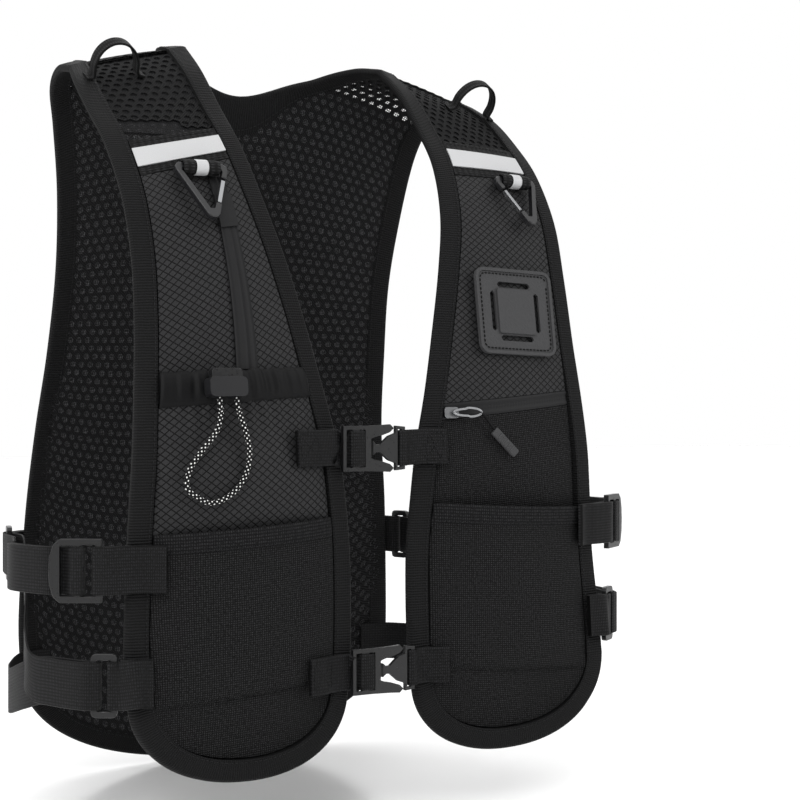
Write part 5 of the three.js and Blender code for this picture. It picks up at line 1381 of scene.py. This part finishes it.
def front_tab(sewn, z, at, bar, room):
    def layer(reach):
        stops = []
        for s in (sewn, 0.93, 1.0):
            t = float(front_level(1, s, -z / FRONT_DROP))
            face = POCKET_LOW + CLOTH + (SEWN_SWELL if s < 0.9 else TAPE_PROUD)
            stops.append(sewn_stop(lambda at, s=s: front_skin(1, s, at), front_normal(1, s, t), t, face + reach))
        return stops

    near = GAP + WEB / 2 + room
    before = bar - LADDER_HALF - 1
    turn = [at(before, TURN_LIFT + 0.3), *turn_round(at, bar), at(before, -TURN_LIFT - 0.3)]
    return [*layer(near + GAP + WEB), *level_stops(turn, z), *layer(near)[::-1]]


def side_strap(z_lock, z_ring, z_lower, z_end):
    def falling(points, start, end):
        last = len(points) - 1
        heights = [mix(start, end, smooth(k / last, 0.1, 0.9)) for k in range(last + 1)]
        return [((x, y, z), UPRIGHT) for (x, y), z in zip(points, heights)]

    tail = [(194.6, -50), (194.9, -62), (192.6, -76), lock_plan(16.5, -4.7), lock_plan(11, -4.7)]
    lock = [
        lock_plan(5.5, -4.5), lock_plan(1.8, -TURN_LIFT - 0.2), *turn_round(lock_plan, 0, -1, 1.8)[::-1][1:],
        lock_plan(2.2, TURN_LIFT), lock_plan(2.9, 1.6), lock_plan(5.4, -0.9), lock_plan(7.8, -TURN_LIFT),
        lock_plan(15.6, -TURN_LIFT),
    ]
    upper = [(193.6, -80), (197, -62), (192, -40), (176, -6), (161, 35), (152, 58), (149.4, 76)]
    diagonal = [(141.8, 74), (146, 58), (154, 35), (169, -6), (184, -44), (188, -62), (184, -84)]
    lower_turn = [lower_plan(10, TURN_LIFT - 0.2), *turn_round(lower_plan, RING_BAR, -1)]
    lower_turn.append(lower_plan(9, -TURN_LIFT - 0.6))
    lower = [(177, -88), (183, -68), (185, -45), (180, -12), (167, 26), (155, 56)]

    def inside_back(u):
        t = float(back_level(u, -z_end / BACK_DROP, 0.0))
        lift = -TAPE_PROUD - GAP - WEB / 2 - 1.4 * SLOPE_ROOM
        return sewn_stop(lambda at: back_skin(u, at), back_normal(u, t), t, lift)

    return [
        *level_stops([*tail, *lock], z_lock), *falling(upper, z_lock, z_ring),
        *level_stops(turn_round(ring_plan, RING_BAR, -1), z_ring), *falling(diagonal, z_ring, z_lower),
        *level_stops(lower_turn, z_lower), *falling(lower, z_lower, z_end), inside_back(1.0),
        inside_back(0.86),
    ]


def back_tab(z):
    def layer(reach):
        stops = []
        for u in (0.93, 0.965, 1.0):
            t = float(back_level(u, -z / BACK_DROP, 0.0))
            stops.append(sewn_stop(lambda at, u=u: back_skin(u, at), back_normal(u, t), t, BACK_FACE + reach))
        return stops

    near = GAP + WEB / 2 + 1.2
    wrap = [
        ring_plan(-RING_BAR - 2.7, -1.2), *turn_round(ring_plan, -RING_BAR, -1)[::-1][3:],
        *turn_round(ring_plan, -RING_BAR)[1:4], ring_plan(-RING_BAR + 1.8, -3.2),
    ]
    return [*layer(near + GAP + WEB), *level_stops(wrap, z), *layer(near)[::-1]]


SIDE_HEIGHTS = {-1: (-282, -288, -341, -362), 1: (-269, -288, -325, -362)}
LOCK_BAR = -11
for label, side in (("R", -1), ("L", 1)):
    z_lock, z_ring, z_lower, z_end = SIDE_HEIGHTS[side]
    strips = {
        "upper_tab": front_tab(0.866, z_lock, lock_plan, LOCK_BAR, SLOPE_ROOM),
        "strap": side_strap(z_lock, z_ring, z_lower, z_end),
        "back_tab": back_tab(z_ring),
        "lower_tab": front_tab(0.914, z_lower, lower_plan, -RING_BAR, CORNER_ROOM),
    }
    for name, stops in strips.items():
        piece = web_mesh(f"web_{label}_{name}", mirrored(stops, side), SIDE_WEB, WEB)
        settle(piece, webbing, "webbing", f"side_{label}_{name}")
    print(label, "side strap and tabs")

# %% Chest webbing
BAR_HALF = 1.2
LAYER_NEAR = BAR_HALF + GAP + CHEST_WEB_THICK / 2
LAYER_FAR = LAYER_NEAR + CHEST_WEB_THICK + GAP
TAPE_TOP = POCKET_LOW + CLOTH + TAPE_PROUD
BUCKLE_LIFT = TAPE_TOP + GAP + SLOPE_ROOM + LAYER_FAR + CHEST_WEB_THICK / 2
OVER = -(BAR_HALF + GAP + CHEST_WEB_THICK / 2)
FRAME_TURN = [
    (-22, LAYER_FAR), (-9.4, LAYER_FAR), (-7.7, LAYER_FAR - 1.4), (-7.6, 0), (-8.2, OVER), (-14.4, OVER),
    (-15.7, -1.4), (-15.8, 0.8), (-17.4, LAYER_NEAR), (-22, LAYER_NEAR),
]
CATCH_TURN = [
    (18.2, LAYER_FAR), (16.2, LAYER_NEAR), (15.9, 0), (16, -1.5), (17.3, OVER), (19.9, OVER),
    (21.2, -0.8), (22.8, LAYER_NEAR),
]
LOWER_ROOM = (POCKET_LOW + CLOTH, POCKET_ROOM)
MIDDLE_ROOM = (BOTTLE_LOW + CLOTH, BOTTLE_ROOM)
ZIP_ROOM = (SHELL_HIGH, 3)
CHEST_STRAPS = {
    "upper": (-221, -7, (0.27, MIDDLE_ROOM), (0.13, ZIP_ROOM)),
    "lower": (-345, -2, (0.24, LOWER_ROOM), (0.16, LOWER_ROOM)),
}


def along_panel(side, ends, z, room, reach):
    stops = []
    for s in ends:
        t = float(front_level(side, s, -z / FRONT_DROP))
        width = np.linalg.norm(front_skin(side, 1.0, t) - front_skin(side, 0.0, t))
        inside = (s * width - INSET) / (width - 2 * INSET)
        cloth = room[0] + room[1] * float(crown(inside))
        face = max(cloth, float(tape_face(t))) if inside > 0 else float(tape_face(t))
        stops.append(sewn_stop(lambda at, s=s: front_skin(side, s, at), front_normal(side, s, t), t, face + reach))
    return stops


sewn_ends = []
for name, (z, middle, right, left) in CHEST_STRAPS.items():
    t = float(front_level(1, 0.0, -z / FRONT_DROP))
    y = front_skin(1, 0.0, t)[1] - BUCKLE_LIFT
    for label, side, (sewn, room), turn in (("R", -1, right, FRAME_TURN), ("L", 1, left, CATCH_TURN)):
        ends = [sewn, sewn * 0.7, sewn * 0.4, 0.03]
        near = GAP + CHEST_WEB_THICK / 2 + SLOPE_ROOM
        below = along_panel(side, ends, z, room, near)
        above = along_panel(side, ends, z, room, near + GAP + CHEST_WEB_THICK)
        stops = [*below, *level_stops([(a + middle, d + y) for a, d in turn], z), *above[::-1]]
        piece = web_mesh(f"web_{name}_{label}", stops, CHEST_WEB, CHEST_WEB_THICK)
        settle(piece, webbing, "webbing", f"chest_{name}_webbing_{label}")
        sewn_ends.append(above)
print(len(sewn_ends), "chest webbings")

# %% Shoulder loops and hang loop
LOOP_TAPE = 8
LOOP_SPAN = 27
LOOP_TALL = 20
LOOP_STEP = 2.2
for label, side in (("R", -1), ("L", 1)):
    axes = front_frame(side, 0.7, 0.036, LINING + LOOP_STEP)
    base = GAP + WEB / 2
    foot = {way: -base if way == side else LOOP_STEP - base for way in (-1, 1)}
    arc = np.linspace(0, np.pi, 13)
    local = [(-(LOOP_SPAN / 2 + 4), foot[-1], 0)]
    local += [(-LOOP_SPAN / 2 * math.cos(a), -base - LOOP_TALL * math.sin(a) ** 0.8, 0) for a in arc]
    local.append((LOOP_SPAN / 2 + 4, foot[1], 0))
    stops = [(in_frame(axes, p), axes[2]) for p in local]
    piece = web_mesh(f"shoulder_loop_{label}", stops, LOOP_TAPE, WEB, 1.0)
    settle(piece, band_cloth, "webbing", f"front_{label}_shoulder_loop")
axes = back_frame(0, 0.085, SHELL_HIGH)
xs = np.linspace(-18, 18, 13)
rise = 8 * np.sin(np.pi * (xs + 18) / 36).clip(0, 1) ** 0.7
stops = [(in_frame(axes, (x, -WEB / 2 - r, 0)), axes[2]) for x, r in zip(xs, rise)]
settle(web_mesh("neck_loop", stops, 8, WEB, 1.0), band_cloth, "webbing", "back_hang_loop")

# %% Cord loops with green edges
LOOP_WIDE = 13
LOOP_HIGH = 5.2
LOOP_LONG = 7


def cord_loop(name, axes):
    half = LOOP_WIDE / 2
    arc = [(-half, 0.4), (-half * 0.9, -2.6), (-half * 0.7, -LOOP_HIGH + 0.5), (0, -LOOP_HIGH + 0.3)]
    arc += [(-x, y) for x, y in arc[:-1][::-1]]
    stops = [(in_frame(axes, (x, y, 0)), axes[2]) for x, y in arc]
    settle(web_mesh(name, stops, LOOP_LONG, 0.9, 0.8), silver, "reflective")
    for way in (-1, 1):
        edge = [(in_frame(axes, (x, y - 0.25, way * (LOOP_LONG / 2 - 0.9))), axes[2]) for x, y in arc]
        settle(web_mesh(f"{name}_edge_{'ab'[way > 0]}", edge, 1.8, 0.9, 0.8), green, "reflective")


for k, (u, drop) in enumerate(LOOPS):
    for way in (-1, 1):
        cord_loop(f"cord_loop_{k}_{'ab'[way > 0]}", back_frame(u * way, drop, SHELL_HIGH))
ex, ey, ez, origin = back_frame(0, BOTTOM_DROP, SHELL_HIGH)
cord_loop("cord_loop_hem", (-ez, ey, ex, origin))
print(2 * len(LOOPS) + 1, "cord loops")

# %% [markdown]
# ## Hard pieces
# The buckles, locks, rings, clips and the moulded patch keep their shape from the frame. Moulded
# plastic has no sharp corners, so each gets a small rounding, which also catches the light along
# its edges.

# %% Rounding and finishes of the frame's own pieces
ROUNDED = {
    "chest_upper_frame": (acetal, 0.5), "chest_upper_catch": (acetal, 0.5),
    "chest_lower_frame": (acetal, 0.5), "chest_lower_catch": (acetal, 0.5),
    "side_R_ladder_lock": (acetal, 0.6), "side_L_ladder_lock": (acetal, 0.6),
    "side_R_back_ring": (acetal, 0.5), "side_L_back_ring": (acetal, 0.5),
    "side_R_lower_ring": (acetal, 0.5), "side_L_lower_ring": (acetal, 0.5),
    "front_R_clip": (acetal_light, 0.7), "front_L_clip": (acetal_light, 0.7),
    "front_R_clip_gate": (steel, 0.5), "front_L_clip_gate": (steel, 0.5),
    "front_R_cord_lock": (acetal_light, 0.8), "back_cord_lock": (acetal_light, 0.8),
    "front_R_cord_lock_button": (acetal, 0.5), "back_cord_lock_button": (acetal, 0.5),
    "front_L_lash_patch": (rubber, 0.35), "front_L_zip_slider": (steel, 0.6),
    "back_zip_puller": (rubber, 0.8),
}
for name, (finish, width) in ROUNDED.items():
    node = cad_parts[name]
    node.data.materials.clear()
    node.data.materials.append(finish)
    weld = node.modifiers.new("weld", "WELD")
    weld.merge_threshold = 0.00002
    bevel = node.modifiers.new("rounding", "BEVEL")
    bevel.width = width / 1000
    bevel.segments = 2
    bevel.limit_method = "ANGLE"
    bevel.angle_limit = math.radians(35)
    bevel.harden_normals = True
print(len(ROUNDED), "hard pieces rounded")

# %% Clip rolls
ROLL = 8.4
ROLL_LONG = 22
HOOKS = {-1: (0.45, 0.012), 1: (0.63, 0.014)}
for label, side in (("R", -1), ("L", 1)):
    s, drop = HOOKS[side]
    share = float(LEVELS[side]["band_foot"](s)) + drop
    axes = front_frame(side, s, share, SHELL_HIGH + 0.7 + ROLL / 2)
    turn = np.linspace(-0.5 * np.pi, 1.45 * np.pi, 30)
    ring = [(-(ROLL - WEB) / 2 * math.cos(a), (ROLL - WEB) / 2 * math.sin(a)) for a in turn]
    stops = [(in_frame(axes, (0, y, z)), axes[0]) for y, z in [(ROLL / 2 - 0.7, 6.2), (ROLL / 2 - 0.7, 3.0)]]
    circle = [(0.5 * np.pi - k * 1.9 * np.pi / 26) for k in range(27)]
    radius = (ROLL - WEB) / 2
    stops += [(in_frame(axes, (0, radius * math.cos(np.pi / 2 - a), radius * math.sin(np.pi / 2 - a))), axes[0])
              for a in circle]
    piece = web_mesh(f"clip_roll_{label}", stops, ROLL_LONG, WEB, 0.8)
    settle(piece, band_cloth, "webbing", f"front_{label}_clip_roll")
    centre = [(in_frame(axes, (0, (radius + 0.5) * math.cos(np.pi / 2 - a),
                               (radius + 0.5) * math.sin(np.pi / 2 - a))), axes[0]) for a in circle[3:]]
    settle(web_mesh(f"clip_silver_{label}", centre, 7.6, 0.8, 0.8), silver, "reflective")
print("clip rolls with their silver centres")

# %% Zip pull of the left pocket
zip_axes = front_frame(1, 0.147, 0.572, SHELL_HIGH + GAP)
PULL_LIFT = 4.1
ring_points = []
for a in np.linspace(0, 2 * np.pi, 40, endpoint=False):
    bulge = 2.6 if math.cos(a) > 0 else 2.0
    ring_points.append((9.6 + 9.0 * math.cos(a), -PULL_LIFT, bulge * math.sin(a)))
ring_points.append(ring_points[0])
wire = tube_mesh("zip_pull_wire", in_frame(zip_axes, ring_points), 1.5, 10)
settle(wire, steel, "steel", "front_L_zip_pull", body="pull_front")
TIP_TURN = 0.8  # radians below level
tip_way = np.array([math.cos(TIP_TURN), 0, -math.sin(TIP_TURN)])
neck = [(17.8, -PULL_LIFT, 0), (21, -PULL_LIFT + 0.2, -2.4), (25.0, -PULL_LIFT + 0.8, -7.6), (27.6, -2.8, -10.4)]
pull_cord = tube_mesh("zip_pull_cord", spline(in_frame(zip_axes, neck), 1.0), 1.6, 10)
settle(pull_cord, nylon, "elastic_cord", body="pull_front")
ex, ey, ez, origin = zip_axes
tip_ex = ex * math.cos(TIP_TURN) - ez * math.sin(TIP_TURN)
tip_ez = ex * math.sin(TIP_TURN) + ez * math.cos(TIP_TURN)
tip_at = in_frame(zip_axes, (26.8, -2.9, -10.5)) + tip_ex * 10
tip = rounded_box("zip_pull_tip", (tip_ex, ey, tip_ez, tip_at), (20, 2.6, 5.6), 1.1, 4)
settle(tip, rubber, "rubber", body="pull_front")
for k in range(5):
    at = tip_at + tip_ex * (-5 + 2.6 * k) - ey * 1.3
    rib = rounded_box(f"zip_pull_rib_{k}", (tip_ex, ey, tip_ez, at), (1.2, 0.7, 4.2), 0.3)
    settle(rib, rubber, "rubber", body="pull_front")
print("zip pull")

# %% [markdown]
# ## Stitches
# Stitches are what show that a thing was sewn. Each is a small capsule of thread, 2 mm long, set
# along the seam and half sunk in the cloth. All the stitches of one kind are one mesh, made from an
# array, because there are thousands.


# %% Stitch meshes
def stitch_mesh(name, starts, ends, normals, size, finish):
    """One mesh of short six-sided threads from starts to ends, bowed up along normals."""
    starts, ends, normals = (np.asarray(a, float) for a in (starts, ends, normals))
    along = unit(ends - starts)
    across = unit(np.cross(along, normals))
    turn = 2 * np.pi * np.arange(6) / 6
    rings = []
    for f, girth, rise in ((0.0, 0.35, -0.3), (0.15, 0.9, 0.1), (0.5, 1.0, 0.25), (0.85, 0.9, 0.1), (1.0, 0.35, -0.3)):
        middle = mix(starts, ends, f) + normals * rise * size
        ring = (
            middle[:, None, :]
            + across[:, None, :] * np.cos(turn)[None, :, None] * size * girth / 2
            + normals[:, None, :] * np.sin(turn)[None, :, None] * size * girth / 2
        )
        rings.append(ring)
    points = np.stack(rings, 1).reshape(-1, 3)
    faces = []
    for c in range(len(starts)):
        base = c * 30
        for k in range(4):
            for i in range(6):
                j = (i + 1) % 6
                a = base + k * 6
                faces.append((a + i, a + j, a + 6 + j, a + 6 + i))
        faces.append(tuple(base + i for i in range(6))[::-1])
        faces.append(tuple(base + 24 + i for i in range(6)))
    piece = make_mesh(name, points, faces, points[:, :2], 80)
    settle(piece, finish, "grosgrain")
    print(name, len(starts), "stitches")
    return piece


def seam(path, normals, pitch=3.0, fill=0.72):
    """Starts, ends and normals of stitches along a path."""
    run = run_of(path)
    at = np.arange(pitch / 2, run[-1] - pitch, pitch)
    pick = lambda where, of: np.stack([np.interp(where, run, of[:, k]) for k in range(3)], -1)
    return pick(at, path), pick(at + pitch * fill, path), unit(pick(at, normals))


def joined(seams):
    return [np.concatenate(group) for group in zip(*seams)]


# The tape's seam runs 1.4 mm inside its sewn edge, on the outside and on the lining side.
outer_line = mix(tape_points[:, 10], tape_points[:, 9], 0.1)
outer_up = unit(tape_points[:, 10] - tape_points[:, 1])
inner_line = mix(tape_points[:, 1], tape_points[:, 2], 0.1)
seams = [seam(outer_line, outer_up), seam(inner_line, -outer_up)]
stitch_mesh("tape_stitches", *joined(seams), 0.55, thread)

# %% Box stitches on the webbing
box_seams = []
for above in sewn_ends:
    points = np.array([p for p, _ in above])
    slopes = np.array([q for _, q in above])
    path, side = spline(points, 1.0, slopes)
    along = unit(np.gradient(path, axis=0))
    outward = np.cross(along, side)
    outward = unit(outward * np.sign(-outward[:, 1:2]))
    face = path + outward * (CHEST_WEB_THICK / 2 + 0.12)
    run = run_of(face)
    keep = (run > 2.0) & (run < 16.0)
    box_path = face[keep]
    box_side = side[keep]
    box_up = outward[keep]
    half = CHEST_WEB / 2 - 2.2
    for way in (-1, 1):
        box_seams.append(seam(box_path + box_side * half * way, box_up, 2.2))
    for k in (0, -1):
        cross = np.stack([box_path[k] - box_side[k] * half, box_path[k] + box_side[k] * half])
        box_seams.append(seam(np.linspace(*cross, 12), np.repeat(box_up[k][None], 12, 0), 2.2))
    for way in (-1, 1):
        f = np.linspace(-1, 1, len(box_path))[:, None]
        box_seams.append(seam(box_path + box_side * half * way * f, box_up, 2.2))
stitch_mesh("box_stitches", *joined(box_seams), 0.5, thread)

# %% Stitches of the bands, pockets and patch
line_seams = []
for side in (-1, 1):
    top, foot = LEVELS[side]["band_top"], LEVELS[side]["band_foot"]
    pocket = LEVELS[side]["pocket"]
    s = np.linspace(0.01, 0.99, 90)
    for line, height in (
        (shift(top, 1.5 * MM), SHELL_HIGH), (shift(foot, -1.5 * MM), SHELL_HIGH),
        (shift(pocket, (ELASTIC - 1.2) * MM), None),
    ):
        t = front_level(side, s, line(s), INSET)
        lift = height + 0.25 if height else POCKET_LOW + CLOTH + POCKET_ROOM * crown(s) + 0.75
        normal = front_normal(side, s, t)
        path = front_skin(side, s, t, INSET) + normal * np.broadcast_to(lift, s.shape)[:, None]
        line_seams.append(seam(path, normal, 2.8))
stitch_mesh("band_stitches", *joined(line_seams), 0.45, thread)

patch_axes = front_frame(1, 0.53, 0.404, SHELL_HIGH + GAP + 0.5)
PATCH_HALF = (28 - 3.4, 26 - 3.4)
corner = 3.5
outline = []
for cx, cz, start in (
    (PATCH_HALF[0] - corner, PATCH_HALF[1] - corner, 0), (corner - PATCH_HALF[0], PATCH_HALF[1] - corner, 90),
    (corner - PATCH_HALF[0], corner - PATCH_HALF[1], 180), (PATCH_HALF[0] - corner, corner - PATCH_HALF[1], 270),
):
    for degrees in range(start, start + 91, 15):
        a = math.radians(degrees)
        outline.append((cx + corner * math.cos(a), -1.75, cz + corner * math.sin(a)))
outline.append(outline[0])
path = in_frame(patch_axes, outline)
stitch_mesh("patch_stitches", *seam(path, np.repeat(-patch_axes[1][None], len(path), 0), 2.6), 0.8, dark_thread)
